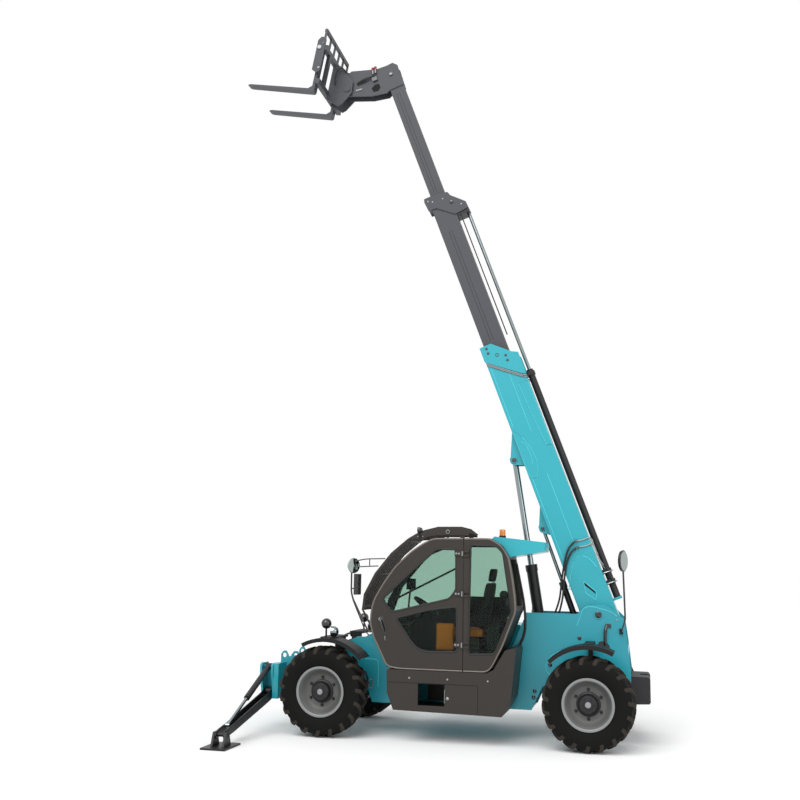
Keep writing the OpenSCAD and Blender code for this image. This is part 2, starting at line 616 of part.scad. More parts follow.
function pb(p) = [p[0], 0, p[1]];
lift_top = [bx(lift_e[0], lift_e[1]), bz(lift_e[0], lift_e[1])];
level_top = [bx(level_e[0], level_e[1]), bz(level_e[0], level_e[1])];
// a cylinder's barrel from its pin, and its rod with an eye, in the side plane
module barrel(b, e, len, r, rr, pin, w) {
    a = atan2(e[1] - b[1], e[0] - b[0]);
    translate(pb(b)) rotate([0, -a, 0]) difference() {
        union() {
            bar_y([0, 0], pin + 30, -w, w);
            translate([pin + 15, 0, 0]) rotate([0, 90, 0]) cylinder(r = r, h = len - pin - 15);
            translate([len - 90, 0, 0]) rotate([0, 90, 0]) cylinder(r = r + 8, h = 90);
        }
        bar_y([0, 0], pin + pin_gap, -w - 1, w + 1);
        translate([pin + 60, 0, 0]) rotate([0, 90, 0]) cylinder(r = rr + pin_gap, h = len);
    }
}
module piston(b, e, s0, rr, pin, w) {
    a = atan2(e[1] - b[1], e[0] - b[0]);
    l = norm(e - b);
    translate(pb(b)) rotate([0, -a, 0]) union() {
        translate([s0, 0, 0]) rotate([0, 90, 0]) cylinder(r = rr, h = l - s0 - pin);
        bar_y([l, 0], pin + 18, -w, w);
    }
}
module lift_barrel() color(dark) place() barrel(lift_b, lift_top, 1560, lift_r, lift_rod_r, 40, 90);
module lift_rod() color(steel) place() piston(lift_b, lift_top, 1440, lift_rod_r, 30, 68);
module level_barrel() color(dark) place() barrel(level_b, level_top, 780, 42, 24, 30, 60);
module level_rod() color(steel) place() piston(level_b, level_top, 600, 24, 20, 48);

// hydraulic hoses from the boom's side down to the left plate, through these points
hose_r = 13;
hose_a = [[-1560, base_w / 2 + seat_gap, 2628], [-1545, 195, 2622], [-1490, 206, 2580], [-1424, 208,
    2489], [-1380, 208, 2300],
    [-1349, 208, 2098], [-1320, 208, 1832], [-1250, 212, 1637], [-1200, 225, 1480], [-1170, 270, 1370],
    [-1160, 330, 1320], [-1158, plate_in - seat_gap, 1310]];
hose_b = [[-1572, base_w / 2 + seat_gap, 2536], [-1557, 195, 2530], [-1500, 206, 2495], [-1450, 208,
    2420], [-1410, 208, 2300],
    [-1391, 208, 2180], [-1358, 208, 1833], [-1310, 212, 1649], [-1270, 225, 1500], [-1245, 270, 1400],
    [-1235, 330, 1350], [-1233, plate_in - seat_gap, 1340]];
function along(p, i) = unit(p[min(i + 1, len(p) - 1)] - p[max(i - 1, 0)]);
// a ring of eight points about a point of the route; the end rings lie flat against their seats
function ring(p, i) = let (end = i == 0 || i == len(p) - 1, d = end ? [0, 1, 0] : along(p, i),
    u = unit(cross([1, 0.2, 0], d)), v = cross(d,
        u)) [for (k = [0:7]) p[i] + hose_r * (cos(45 * k) * u + sin(45 * k) * v)];

module hose(p) polyhedron([for (i = [0:len(p) - 1]) each ring(p, i)], skin(len(p), 8, false));
module boom_hoses() color(black) place() {
    hose(hose_a);
    hose(hose_b);
}

module leg() {
    d = [pad_y - leg_y, pad_z - leg_z];
    a = atan2(d[1], d[0]);
    l = norm(d);
    outline = [[-60, -40], [0, -75], [200, -80], [l - 250, -58], [l - 40, -44], [l + 40, -40], [l + 55, 0],
        [l + 30, 45], [l - 60, 50], [l - 300, 40], [200, 40], [0, 62], [-55, 45]];
    translate([leg_x, leg_y, leg_z]) rotate([a, 0, 0]) difference() {
        union() {
            front(outline, -60, -46);
            front(outline, 46, 60);
            box([-50, 60, -66], [50, l - 400, -46]);
            bar_x([0, 0], 60, -60, 60);
            bar_x([l, 0], 26, -85, 85);
        }
        bar_x([0, 0], 32 + pin_gap, -61, 61);
    }
}
module pad() translate([leg_x, pad_y, 0]) difference() {
    union() {
        box([-160, -250, 0], [160, 250, 22]);
        for (x = [-90, 62]) front([[-110, 20], [110, 20], [45, pad_z + 35], [-45, pad_z + 35]], x, x + 28);
    }
    bar_x([0, pad_z], 26 + pin_gap, -120, 120);
}
module leg_barrel() translate([leg_x, leg_t[0], leg_t[1]]) {
    d = leg_e - leg_t;
    rotate([atan2(d[1], d[0]), 0, 0]) difference() {
        union() {
            bar_x([0, 0], 44, -38, 38);
            translate([0, 30, 0]) rotate([-90, 0, 0]) cylinder(r = 40, h = 820);
        }
        bar_x([0, 0], 24 + pin_gap, -60, 60);
        translate([0, 90, 0]) rotate([-90, 0, 0]) cylinder(r = 22 + pin_gap, h = 1000);
    }
}
module leg_rod() translate([leg_x, leg_t[0], leg_t[1]]) {
    d = leg_e - leg_t;
    l = norm(d);
    rotate([atan2(d[1], d[0]), 0, 0]) union() {
        translate([0, 560, 0]) rotate([-90, 0, 0]) cylinder(r = 22, h = l - 560);
        bar_x([l, 0], 28, -28, 28);
    }
}
module turned() translate([2 * leg_x, 0, 0]) rotate([0, 0, 180]) children();
module leg_left() color(dark) place() leg();
module leg_right() color(dark) place() turned() leg();
module pad_left() color(dark) place() pad();
module pad_right() color(dark) place() turned() pad();
module leg_barrel_left() color(dark) place() leg_barrel();
module leg_barrel_right() color(dark) place() turned() leg_barrel();
module leg_rod_left() color(steel) place() leg_rod();
module leg_rod_right() color(steel) place() turned() leg_rod();

module at_wheel(sx, sy) place() mirror([0, sy > 0 ? 0 : 1, 0]) translate([sx * axle_x, track / 2, tyre_r])
    rotate([-90, 0, 0]) children();
// tyre outline from bead to bead: distance from the middle, radius, height of the inner and the outer lugs,
// and the turn that makes the lugs slant
lugs = 15;
lug_low = tyre_r - lug_h;
tread = [[-rim_bead, bead_r + 3, 0, 0, 9], [-rim_bead, rim_r + 5, 0, 0, 9], [-tyre_w / 2, rim_r + 105,
    0, 0, 9],
    [-tyre_w / 2 + 14, tyre_r - 75, 0, 0, 9], [-tyre_w / 2 + 26, lug_low - 12, lug_h - 2, 0, 9], [-28,
        lug_low, lug_h, 0, 0],
    [28, lug_low, 0, lug_h, 0], [tyre_w / 2 - 26, lug_low - 12, 0, lug_h - 2, 9], [tyre_w / 2 - 14,
        tyre_r - 75, 0, 0, 9],
    [tyre_w / 2, rim_r + 105, 0, 0, 9], [rim_bead, rim_r + 5, 0, 0, 9], [rim_bead, bead_r + 3, 0, 0, 9]];
lug_at = [0, 0.36, 0.5, 0.86];
function tread_point(t, i) = let (a = 18 + 360 / lugs * (floor(i / 4) + lug_at[i % 4]) + t[4],
    r = t[1] + (i % 4 < 2 ? t[2] : t[3])) [r * cos(a), r * sin(a), t[0]];
// joins rings of points into a closed skin
function skin(n, m, loop) = concat([for (j = [0:(loop ? n : n - 1) - 1]) for (i = [0:m - 1])
    [j * m + i, (j + 1) % n * m + i, (j + 1) % n * m + (i + 1) % m, j * m + (i + 1) % m]],
    loop ? [] : [[for (i = [0:m - 1]) i], [for (i = [m - 1:-1:0]) (n - 1) * m + i]]);
module tyre() polyhedron([for (t = tread) for (i = [0:4 * lugs - 1]) tread_point(t, i)],
    skin(len(tread), 4 * lugs, true));
module rim() difference() {
    union() {
        rotate_extrude() polygon([[bead_r - 14, -rim_bead - 12], [rim_r, -rim_bead - 12], [rim_r,
            -rim_bead],
            [bead_r, -rim_bead], [bead_r, rim_bead], [rim_r, rim_bead], [rim_r, rim_bead + 12],
            [bead_r - 14, rim_bead + 12], [bead_r - 14, 70], [220, 40], [140, 40], [140, 100], [118, 130],
            [118, 165], [60, 172], [50, 178], [0, 178], [0, 26], [130, 26], [215, 26], [bead_r - 14, 54]]);
        for (i = [0:9]) rotate([0, 0, i * 36]) translate([185, 0, 35]) cylinder(r = 14, h = 25);
    }
    translate([0, 0, 20]) cylinder(r = 60 + pin_gap, h = 60);
}
hub_z = -kingpin_off;
module knuckle() union() {
    translate([0, 0, hub_z]) rotate([90, 0, 0]) translate([0, 0, -130 + pin_gap]) cylinder(r = 62,
        h = 260 - 2 * pin_gap);
    translate([0, 0, hub_z]) cylinder(r = 100, h = kingpin_off - 60);
    translate([0, 0, -60]) cylinder(r = 150, h = 60);
    cylinder(r = 60, h = 70);
}
module tyre_fl() color(black) at_wheel(1, 1) tyre();
module tyre_fr() color(black) at_wheel(1, -1) tyre();
module tyre_rl() color(black) at_wheel(-1, 1) tyre();
module tyre_rr() color(black) at_wheel(-1, -1) tyre();
module rim_fl() color(steel) at_wheel(1, 1) rim();
module rim_fr() color(steel) at_wheel(1, -1) rim();
module rim_rl() color(steel) at_wheel(-1, 1) rim();
module rim_rr() color(steel) at_wheel(-1, -1) rim();
module knuckle_fl() color(dark) at_wheel(1, 1) knuckle();
module knuckle_fr() color(dark) at_wheel(1, -1) knuckle();
module knuckle_rl() color(dark) at_wheel(-1, 1) knuckle();
module knuckle_rr() color(dark) at_wheel(-1, -1) knuckle();

frame();
plate_left();
plate_right();
counterweight();
front_axle();
rear_axle();
fenders();
cab_floor();
cab_side();
cab_right();
cab_rear();
cab_roof();
cab_skirt();
front_guard();
roof_cowl();
cab_glass();
seat();
console();
engine_pod();
engine_hood();
engine_block();
exhaust();
lamps();
mirrors();
cab_door();
door_glass();
boom_base();
extension_barrel();
boom_mid();
extension_rod();
boom_tip();
carriage();
forks();
tilt_barrel();
tilt_rod();
lift_barrel();
lift_rod();
level_barrel();
level_rod();
leg_left();
leg_right();
pad_left();
pad_right();
leg_barrel_left();
leg_barrel_right();
leg_rod_left();
leg_rod_right();
tyre_fl();
tyre_fr();
tyre_rl();
tyre_rr();
rim_fl();
rim_fr();
rim_rl();
rim_rr();
boom_hoses();
knuckle_fl();
knuckle_fr();
knuckle_rl();
knuckle_rr();
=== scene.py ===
"""Looks of a telescopic handler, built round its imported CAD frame.

The CAD nodes keep their shapes and get materials. Tyres, wheels, lamps, mirrors, the seat and the
small fittings are made here in the machine's own millimetres and ride on the CAD bodies.
"""

from __future__ import annotations

import json
import logging
import math
from dataclasses import dataclass, field
from enum import Enum
from typing import ClassVar, Iterable, Mapping, Sequence

import bpy
from mathutils import Matrix, Vector
from mathutils.geometry import convex_hull_2d

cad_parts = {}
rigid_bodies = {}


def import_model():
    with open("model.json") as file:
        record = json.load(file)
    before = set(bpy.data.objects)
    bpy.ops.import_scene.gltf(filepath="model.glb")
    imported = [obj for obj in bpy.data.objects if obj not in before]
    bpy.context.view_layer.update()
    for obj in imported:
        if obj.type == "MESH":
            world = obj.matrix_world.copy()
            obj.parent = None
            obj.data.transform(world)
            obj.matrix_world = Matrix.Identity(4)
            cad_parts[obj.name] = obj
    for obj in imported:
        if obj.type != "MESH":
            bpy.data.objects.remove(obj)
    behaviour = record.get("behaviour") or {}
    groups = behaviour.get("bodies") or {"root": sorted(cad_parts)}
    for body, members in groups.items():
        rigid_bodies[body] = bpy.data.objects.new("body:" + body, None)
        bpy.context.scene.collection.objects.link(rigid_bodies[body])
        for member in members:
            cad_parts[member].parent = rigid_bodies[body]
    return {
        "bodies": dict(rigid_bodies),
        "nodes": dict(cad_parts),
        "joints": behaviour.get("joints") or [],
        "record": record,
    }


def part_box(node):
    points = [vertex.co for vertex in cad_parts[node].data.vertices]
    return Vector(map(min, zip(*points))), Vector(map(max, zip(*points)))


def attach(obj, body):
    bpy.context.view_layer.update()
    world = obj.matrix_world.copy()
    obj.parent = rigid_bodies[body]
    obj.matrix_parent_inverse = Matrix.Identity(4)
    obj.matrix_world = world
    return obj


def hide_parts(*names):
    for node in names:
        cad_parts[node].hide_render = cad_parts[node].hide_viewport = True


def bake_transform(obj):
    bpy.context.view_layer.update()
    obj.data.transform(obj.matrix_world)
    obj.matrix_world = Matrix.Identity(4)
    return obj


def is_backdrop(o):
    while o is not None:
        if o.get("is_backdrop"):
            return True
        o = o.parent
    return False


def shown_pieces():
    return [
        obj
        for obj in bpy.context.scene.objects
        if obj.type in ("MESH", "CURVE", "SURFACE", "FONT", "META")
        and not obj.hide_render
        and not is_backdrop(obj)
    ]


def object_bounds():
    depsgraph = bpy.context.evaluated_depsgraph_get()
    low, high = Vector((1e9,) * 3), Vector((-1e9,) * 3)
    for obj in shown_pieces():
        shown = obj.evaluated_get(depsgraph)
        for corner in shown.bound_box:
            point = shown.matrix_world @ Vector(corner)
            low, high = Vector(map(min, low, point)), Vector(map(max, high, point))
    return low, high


LOG = logging.getLogger("scene")
MM = 0.001
# how far apart in metres two faces may lie and still count as one level
SAME_LEVEL = 0.0006
# angle in degrees above which an edge of a round rubber or padded form stays sharp
SOFT = 60.0
SIDES = (("left", 1), ("right", -1))
AHEAD, LEFT, UP = (1, 0, 0), (0, 1, 0), (0, 0, 1)
ORIGIN = (0, 0, 0)

Point = Sequence[float]
Line = Sequence[Point]
Outline = Sequence[tuple[float, float]]
CapSize = tuple[float, float, float, float]


def linear(hex_colour: str) -> tuple[float, float, float, float]:
    """Turns an sRGB hex colour into linear RGBA.

    Args:
        hex_colour: Six hex digits, with or without a leading hash.

    Returns:
        Linear red, green and blue, and an alpha of one.
    """
    digits = hex_colour.lstrip("#")
    channels = [int(digits[i : i + 2], 16) / 255 for i in (0, 2, 4)]
    red, green, blue = (
        c / 12.92 if c <= 0.04045 else ((c + 0.055) / 1.055) ** 2.4 for c in channels
    )
    return red, green, blue, 1.0


def add_node(
    tree: bpy.types.NodeTree,
    kind: str,
    inputs: Mapping[str | int, object] | None = None,
    **settings: object,
) -> bpy.types.Node:
    """Adds a shader node with its settings, values and links.

    Args:
        tree: The node tree.
        kind: The node's type name.
        inputs: Input names or numbers to a value or to an output socket.
        **settings: Attributes of the node.

    Returns:
        The new node.
    """
    made = tree.nodes.new(kind)
    for name, value in settings.items():
        setattr(made, name, value)
    for key, value in (inputs or {}).items():
        if isinstance(value, bpy.types.NodeSocket):
            tree.links.new(value, made.inputs[key])
        else:
            made.inputs[key].default_value = value
    return made


def turns(count: int) -> list[float]:
    """Gives the angles of equal steps round a circle."""
    return [2 * math.pi * k / count for k in range(count)]


def upright(outline: Outline, y: float) -> list[tuple[float, float, float]]:
    """Stands a flat outline of X and Z up at one Y."""
    return [(x, y, z) for x, z in outline]


def moved(line: Line, y: float) -> list[tuple[float, float, float]]:
    """Moves a line of points along Y."""
    return [(p[0], p[1] + y, p[2]) for p in line]


def smooth(line: Line, radius: float, closed: bool = False) -> list[Vector]:
    """Rounds a polyline's corners.

    Args:
        line: The polyline's points.
        radius: How far from a corner its bend begins, at most.
        closed: Whether it is a loop.

    Returns:
        The rounded polyline.
    """
    longest_share = 0.48
    steps = (0, 0.2, 0.4, 0.6, 0.8, 1)
    points = [Vector(p) for p in line]
    count = len(points)
    bent = [] if closed else [points[0]]
    for i in range(count) if closed else range(1, count - 1):
        corner, ends = points[i], (points[i - 1], points[(i + 1) % count])
        first, last = (
            corner.lerp(end, min(radius / (end - corner).length, longest_share)) for end in ends
        )
        bent += [first.lerp(corner, t).lerp(corner.lerp(last, t), t) for t in steps]
    return bent if closed else [*bent, points[-1]]


def rims_of(thing: bpy.types.Object, level: float | None = None) -> list[list[Vector]]:
    """Finds the outlines of a CAD node's faces that look to the left.

    Args:
        thing: The node.
        level: The faces' Y in metres, or nothing for the outermost ones.

    Returns:
        Loops of points in metres.
    """
    facing = 0.999
    mesh = thing.data
    faces = [f for f in mesh.polygons if f.normal.y > facing]
    wanted = max(f.center.y for f in faces) if level is None else level
    edges: set[tuple[tuple[float, ...], tuple[float, ...]]] = set()
    for face in faces:
        if abs(face.center.y - wanted) < SAME_LEVEL:
            ring = [tuple(round(c, 5) for c in mesh.vertices[v].co) for v in face.vertices]
            for a, b in zip(ring, ring[1:] + ring[:1]):
                if (b, a) in edges:
                    edges.remove((b, a))
                else:
                    edges.add((a, b))
    used = dict(sorted(edges))
    loops = []
    while used:
        start, at = next(iter(used.items()))
        del used[start]
        loop = [start]
        while at != start and at in used:
            loop.append(at)
            at = used.pop(at)
        loops.append([Vector(c) for c in loop])
    return loops


class Finish(Enum):
    """The materials of the machine, named for what they are made of and how, and for the light or
    shade painted into some.
    """

    TURQUOISE = "turquoise_powder_coat"
    CHARCOAL = "charcoal_baked_enamel"
    BLACK = "black_baked_enamel"
    CAB = "brown_grey_baked_enamel"
    CAST = "dark_painted_cast_iron"
    BLACK_PLASTIC = "black_moulded_polypropylene"
    GLOSS_BLACK = "black_gloss_lacquer"
    RUBBER = "black_extruded_rubber"
    TYRE = "black_vulcanised_tyre_rubber"
    TREAD = "dusty_vulcanised_tyre_rubber"
    WHEEL = "grey_painted_pressed_steel"
    RIM = "silver_painted_rolled_steel"
    CHROME = "hard_chrome_plated_steel"
    ZINC = "bright_zinc_plated_steel"
    GLASS = "green_tinted_float_glass"
    LENS = "clear_moulded_polycarbonate"
    AMBER = "amber_moulded_polycarbonate"
    RED = "red_moulded_polycarbonate"
    SEAT = "orange_coated_fabric"
    CLOTH = "black_woven_seat_cloth"
    MIRROR = "silvered_mirror_glass"
    EDGE = "brown_grey_gloss_lacquer"
    BEAD = "pale_turquoise_painted_weld"
    DUSTY = "dusty_turquoise_powder_coat"
    SHADOW = "black_open_panel_joint"
    FLOOR = "pale_matt_paper"


@dataclass(frozen=True)
class Look:
    """What a finish looks like.

    Attributes:
        colour: sRGB hex of the base colour.
        roughness: Microsurface roughness.
        metallic: One for bare metal.
        ior: Index of refraction.
        coat: Weight of a clear top coat.
        grain_mm: Width of the fine surface texture, nought for none.
        grain: Height of that texture in millimetres.
        transmission: One for glass.
        edge_mm: Radius that worn and pressed edges show.
        shine: Specular level.
    """

    colour: str
    roughness: float
    metallic: float = 0.0
    ior: float = 1.5
    coat: float = 0.0
    grain_mm: float = 0.0
    grain: float = 0.0
    transmission: float = 0.0
    edge_mm: float = 0.0
    shine: float = 0.5


# Paint ripple, casting skin and cloth threads are finer than a pixel on a machine of this size, so
# their grain is drawn a few millimetres wide, as coarse as it needs to be to break up a highlight.
LOOKS: dict[Finish, Look] = {
    # thick baked powder: clean colour, satin sheen, a soft bright line along each edge
    Finish.TURQUOISE: Look("#189BA8", 0.36, coat=0.35, grain_mm=4.0, grain=0.03, edge_mm=5),
    # sprayed and baked enamel: blue-grey, with a broad dull highlight
    Finish.CHARCOAL: Look("#434449", 0.46, grain_mm=5.0, grain=0.04, edge_mm=4, shine=0.35),
    # the same enamel in black: near black in shade, grey only where the sky glances off
    Finish.BLACK: Look("#1A191B", 0.42, grain_mm=5.0, grain=0.04, edge_mm=4, shine=0.35),
    # warm brown-grey enamel on sheet steel: flat and even, edges rounded by the press
    Finish.CAB: Look("#28231F", 0.45, grain_mm=3.0, grain=0.03, edge_mm=6, shine=0.35),
    # sand-cast skin under one coat of paint: rough, with blunt edges
    Finish.CAST: Look("#222224", 0.6, grain_mm=6.0, grain=0.25, edge_mm=8, shine=0.35),
    # grained moulding: matt black that barely reflects
    Finish.BLACK_PLASTIC: Look("#161617", 0.55, grain_mm=1.5, grain=0.05, edge_mm=3, shine=0.2),
    # smooth lacquer: small sharp highlights on black
    Finish.GLOSS_BLACK: Look("#141415", 0.2, coat=0.5),
    # extruded profile: dark, with a long soft highlight down its length
    Finish.RUBBER: Look("#121212", 0.62),
    # moulded side wall: almost no reflection, slightly uneven
    Finish.TYRE: Look("#0B0B0A", 0.8, grain_mm=7.0, grain=0.2, shine=0.15),
    # rubber that has rolled through dust: brown-grey and dull
    Finish.TREAD: Look("#2C2823", 0.85, grain_mm=9.0, grain=0.3, shine=0.25),
    # pressed disc in grey paint: mid grey that darkens into the dish
    Finish.WHEEL: Look("#525251", 0.45, grain_mm=5.0, grain=0.03),
    # rolled flange in silver paint: a light ring with a metallic cast
    Finish.RIM: Look("#7E7F7F", 0.42, metallic=0.3),
    # ground and plated rod: mirrors the sky in a narrow band
    Finish.CHROME: Look("#8F989A", 0.16, metallic=1.0),
    # plated fastener: bright but frosted
    Finish.ZINC: Look("#8F9193", 0.42, metallic=0.9),
    # body-tinted float glass: pale green where bright things stand behind it; the IOR is lowered,
    # so that the panes bend the view no more than thin ones do
    Finish.GLASS: Look("#BCD4C9", 0.01, ior=1.2, transmission=1.0),
    # clear moulding over a reflector: white sparkle
    Finish.LENS: Look("#F4F6F7", 0.04, ior=1.58, transmission=0.9),
    # dyed moulding: glows orange from within
    Finish.AMBER: Look("#F08A10", 0.15, ior=1.58, transmission=0.35),
    # dyed moulding: deep red with a sharp highlight
    Finish.RED: Look("#A51414", 0.15, ior=1.58, transmission=0.3),
    # coated weave: strong orange, dry, without a highlight
    Finish.SEAT: Look("#F06C0A", 0.75, grain_mm=2.0, grain=0.25),
    # woven cloth: black that drinks the light
    Finish.CLOTH: Look("#171718", 0.8, grain_mm=2.0, grain=0.2, shine=0.2),
    # silvered glass: a clean, faintly green reflection
    Finish.MIRROR: Look("#A4AEAC", 0.03, metallic=1.0),
    # lacquer on a rolled edge, paler than the cab's enamel: painted highlight, a glint that runs
    # round the cab
    Finish.EDGE: Look("#5C544C", 0.3, coat=0.4),
    # weld seams and edge lines in a paler turquoise than the plate beside them: painted highlight
    Finish.BEAD: Look("#4DC3CE", 0.4),
    # powder coat of the side plates and engine pod: the same turquoise darkened as painted shade,
    # with a flatter sheen
    Finish.DUSTY: Look("#168E9D", 0.4, coat=0.25, grain_mm=4.0, grain=0.03, edge_mm=5),
    # open joints between panels as black lines, and flat black plates of painted shade in the
    # boom's openings
    Finish.SHADOW: Look("#0A0A0A", 0.9),
    # matt paper: white, and keeps the shadow
    Finish.FLOOR: Look("#FFFFFF", 0.9),
}


class Palette:
    """Makes each finish's material once.

    Attributes:
        COAT_ROUGHNESS: Roughness of a clear top coat.
        GRAIN_DETAIL: Octaves of the fine surface texture.
    """

    COAT_ROUGHNESS: ClassVar[float] = 0.12
    GRAIN_DETAIL: ClassVar[float] = 3.0

    def __init__(self) -> None:
        """Starts with no materials made."""
        self._made: dict[Finish, bpy.types.Material] = {}

    def get(self, finish: Finish) -> bpy.types.Material:
        """Gives the material of a finish, made at its first use.

        Args:
            finish: Which finish.

        Returns:
            Its material.
        """
        if finish not in self._made:
            self._made[finish] = self._make(finish, LOOKS[finish])
        return self._made[finish]

    def _make(self, finish: Finish, look: Look) -> bpy.types.Material:
        """Builds one material's nodes.

        Args:
            finish: Which finish, for its name.
            look: Its look.

        Returns:
            The material.
        """
        material = bpy.data.materials.new(finish.value)
        material.use_nodes = True
        material.diffuse_color = linear(look.colour)
        tree = material.node_tree
        shader = tree.nodes["Principled BSDF"]
        for socket, value in (
            ("Base Color", linear(look.colour)),
            ("Roughness", look.roughness),
            ("Metallic", look.metallic),
            ("IOR", look.ior),
            ("Coat Weight", look.coat),
            ("Coat Roughness", self.COAT_ROUGHNESS),
            ("Transmission Weight", look.transmission),
            ("Specular IOR Level", look.shine),
        ):
            shader.inputs[socket].default_value = value
        self._surface(tree, shader, look)
        if look.transmission == 1:
            self._let_light_in(tree, shader, look)
        return material

    def _surface(self, tree: bpy.types.NodeTree, shader: bpy.types.Node, look: Look) -> None:
        """Rounds the edges and adds the fine grain of a finish.

        Args:
            tree: The material's node tree.
            shader: Its surface shader.
            look: The finish's look.
        """
        normal = None
        if look.edge_mm:
            edge = add_node(tree, "ShaderNodeBevel", {"Radius": look.edge_mm * MM})
            normal = edge.outputs["Normal"]
        if look.grain_mm:
            where = add_node(tree, "ShaderNodeTexCoord").outputs["Object"]
            scale = 1 / (look.grain_mm * MM)
            noise = add_node(
                tree,
                "ShaderNodeTexNoise",
                {"Vector": where, "Scale": scale, "Detail": self.GRAIN_DETAIL},
            )
            inputs = {"Height": noise.outputs["Fac"], "Distance": look.grain * MM}
            if normal is not None:
                inputs["Normal"] = normal
            normal = add_node(tree, "ShaderNodeBump", inputs).outputs["Normal"]
        if normal is not None:
            tree.links.new(normal, shader.inputs["Normal"])

    @staticmethod
    def _let_light_in(tree: bpy.types.NodeTree, shader: bpy.types.Node, look: Look) -> None:
        """Lets tinted light through a pane, so that what stands behind it is lit.

        Args:
            tree: The material's node tree.
            shader: Its surface shader.
            look: The finish's look.
        """
        path = add_node(tree, "ShaderNodeLightPath").outputs
        rays = {0: path["Is Shadow Ray"], 1: path["Is Diffuse Ray"]}
        light = add_node(tree, "ShaderNodeMath", rays, operation="MAXIMUM").outputs["Value"]
        tint = add_node(tree, "ShaderNodeBsdfTransparent", {"Color": linear(look.colour)})
        shaders = {"Fac": light, 1: shader.outputs["BSDF"], 2: tint.outputs["BSDF"]}
        mixed = add_node(tree, "ShaderNodeMixShader", shaders)
        tree.links.new(mixed.outputs["Shader"], tree.nodes["Material Output"].inputs["Surface"])


class Shape:
    """Collects one visual piece's faces in millimetres of a local frame.

    Attributes:
        place: Turns local millimetres into the row frame's metres.
        points: The corners so far.
        faces: Corner numbers of each face.
        marks: Each face's number in the finishes.
        finishes: The finishes in order of first use.
    """

    def __init__(self, place: Matrix) -> None:
        """Starts an empty piece.

        Args:
            place: Turns local millimetres into the row frame's metres.
        """
        self.place = place
        self.points: list[Vector] = []
        self.faces: list[tuple[int, ...]] = []
        self.marks: list[int] = []
        self.finishes: list[Finish] = []
        self._mark = 0

    def use(self, finish: Finish) -> Shape:
        """Sets the finish of the faces added from now on.

        Args:
            finish: The finish.

        Returns:
            This shape, so that calls chain.
        """
        if finish not in self.finishes:
            self.finishes.append(finish)
        self._mark = self.finishes.index(finish)
        return self

    def _put(self, points: Iterable[Point], faces: Iterable[Sequence[int]]) -> Shape:
        """Adds corners and the faces between them.

        Args:
            points: The corners.
            faces: Corner numbers, counted from the first of these corners.

        Returns:
            This shape.
        """
        base = len(self.points)
        self.points += [Vector(p) for p in points]
        for face in faces:
            self.faces.append(tuple(base + i for i in face))
            self.marks.append(self._mark)
        return self

    def box(self, low: Point, high: Point) -> Shape:
        """Adds a box.

        Args:
            low: Lowest corner.
            high: Highest corner.

        Returns:
            This shape.
        """
        xs, ys, zs = zip(low, high)
        corners = [(x, y, z) for x in xs for y in ys for z in zs]
        sides = ((0, 1, 3, 2), (4, 6, 7, 5), (0, 4, 5, 1), (2, 3, 7, 6), (0, 2, 6, 4), (1, 5, 7, 3))
        return self._put(corners, sides)

    def plate(self, outline: Outline, y0: float, y1: float) -> Shape:
        """Adds a plate with an outline in X and Z, from y0 to y1.

        Args:
            outline: Corners in order.
            y0: One face.
            y1: The other face.

        Returns:
            This shape.
        """
        n = len(outline)
        after = [*outline[1:], outline[0]]
        area = sum(a[0] * b[1] - b[0] * a[1] for a, b in zip(outline, after))
        faces = [tuple(range(n)), tuple(range(2 * n - 1, n - 1, -1))]
        faces += [(i, i + n, (i + 1) % n + n, (i + 1) % n) for i in range(n)]
        if (area < 0) != (y1 < y0):
            faces = [tuple(reversed(f)) for f in faces]
        return self._put(upright(outline, y0) + upright(outline, y1), faces)

    def loft(self, rings: Sequence[Line], closed: bool = False, caps: bool = True) -> Shape:
        """Joins rings of equal length with faces.

        Args:
            rings: Rings of points, in order.
            closed: Whether the last ring joins the first.
            caps: Whether the ends are filled.

        Returns:
            This shape.
        """
        n, count = len(rings[0]), len(rings)
        faces: list[tuple[int, ...]] = []
        for r in range(count if closed else count - 1):
            a, b = r * n, (r + 1) % count * n
            faces += [(a + i, a + (i + 1) % n, b + (i + 1) % n, b + i) for i in range(n)]
        if caps and not closed:
            faces += [tuple(range(n - 1, -1, -1)), tuple(range((count - 1) * n, count * n))]
        return self._put([p for ring in rings for p in ring], faces)

    def tube(self, path: Line, radius: float, sides: int = 12, closed: bool = False) -> Shape:
        """Sweeps a round section along a path.

        Args:
            path: Points of its middle line.
            radius: Radius of the tube.
            sides: Facets round it.
            closed: Whether the path is a loop.

        Returns:
            This shape.
        """
        line = [Vector(p) for p in path]
        count = len(line)
        rings = []
        normal: Vector | None = None
        for i, p in enumerate(line):
            before = line[i - 1] if i or closed else p
            after = line[(i + 1) % count] if i + 1 < count or closed else p
            along = (after - before).normalized()
            if normal is None:
                normal = along.orthogonal().normalized()
            normal = (normal - along * normal.dot(along)).normalized()
            side = along.cross(normal)
            rings.append([
                p + normal * (radius * math.cos(t)) + side * (radius * math.sin(t))
                for t in turns(sides)
            ])
        return self.loft(rings, closed)

    def rod(self, a: Point, b: Point, radius: float, sides: int = 24) -> Shape:
        """Adds a round bar between two points.

        Args:
            a: One end.
            b: The other end.
            radius: Radius of the bar.
            sides: Facets round it.

        Returns:
            This shape.
        """
        return self.tube([a, b], radius, sides)

    def lathe(self, profile: Outline, at: Point, axis: Point, steps: int = 64) -> Shape:
        """Turns a profile round an axis.

        Args:
            profile: Radius and distance along the axis, in order.
            at: The axis's zero point.
            axis: Its direction.
            steps: Facets round it.

        Returns:
            This shape.
        """
        least = 0.01
        along = Vector(axis).normalized()
        u = along.orthogonal().normalized()
        v = along.cross(u)
        centre = Vector(at)
        rings = [
            [
                centre + along * z + (u * math.cos(t) + v * math.sin(t)) * max(radius, least)
                for t in turns(steps)
            ]
            for radius, z in profile
        ]
        return self.loft(rings, caps=False)

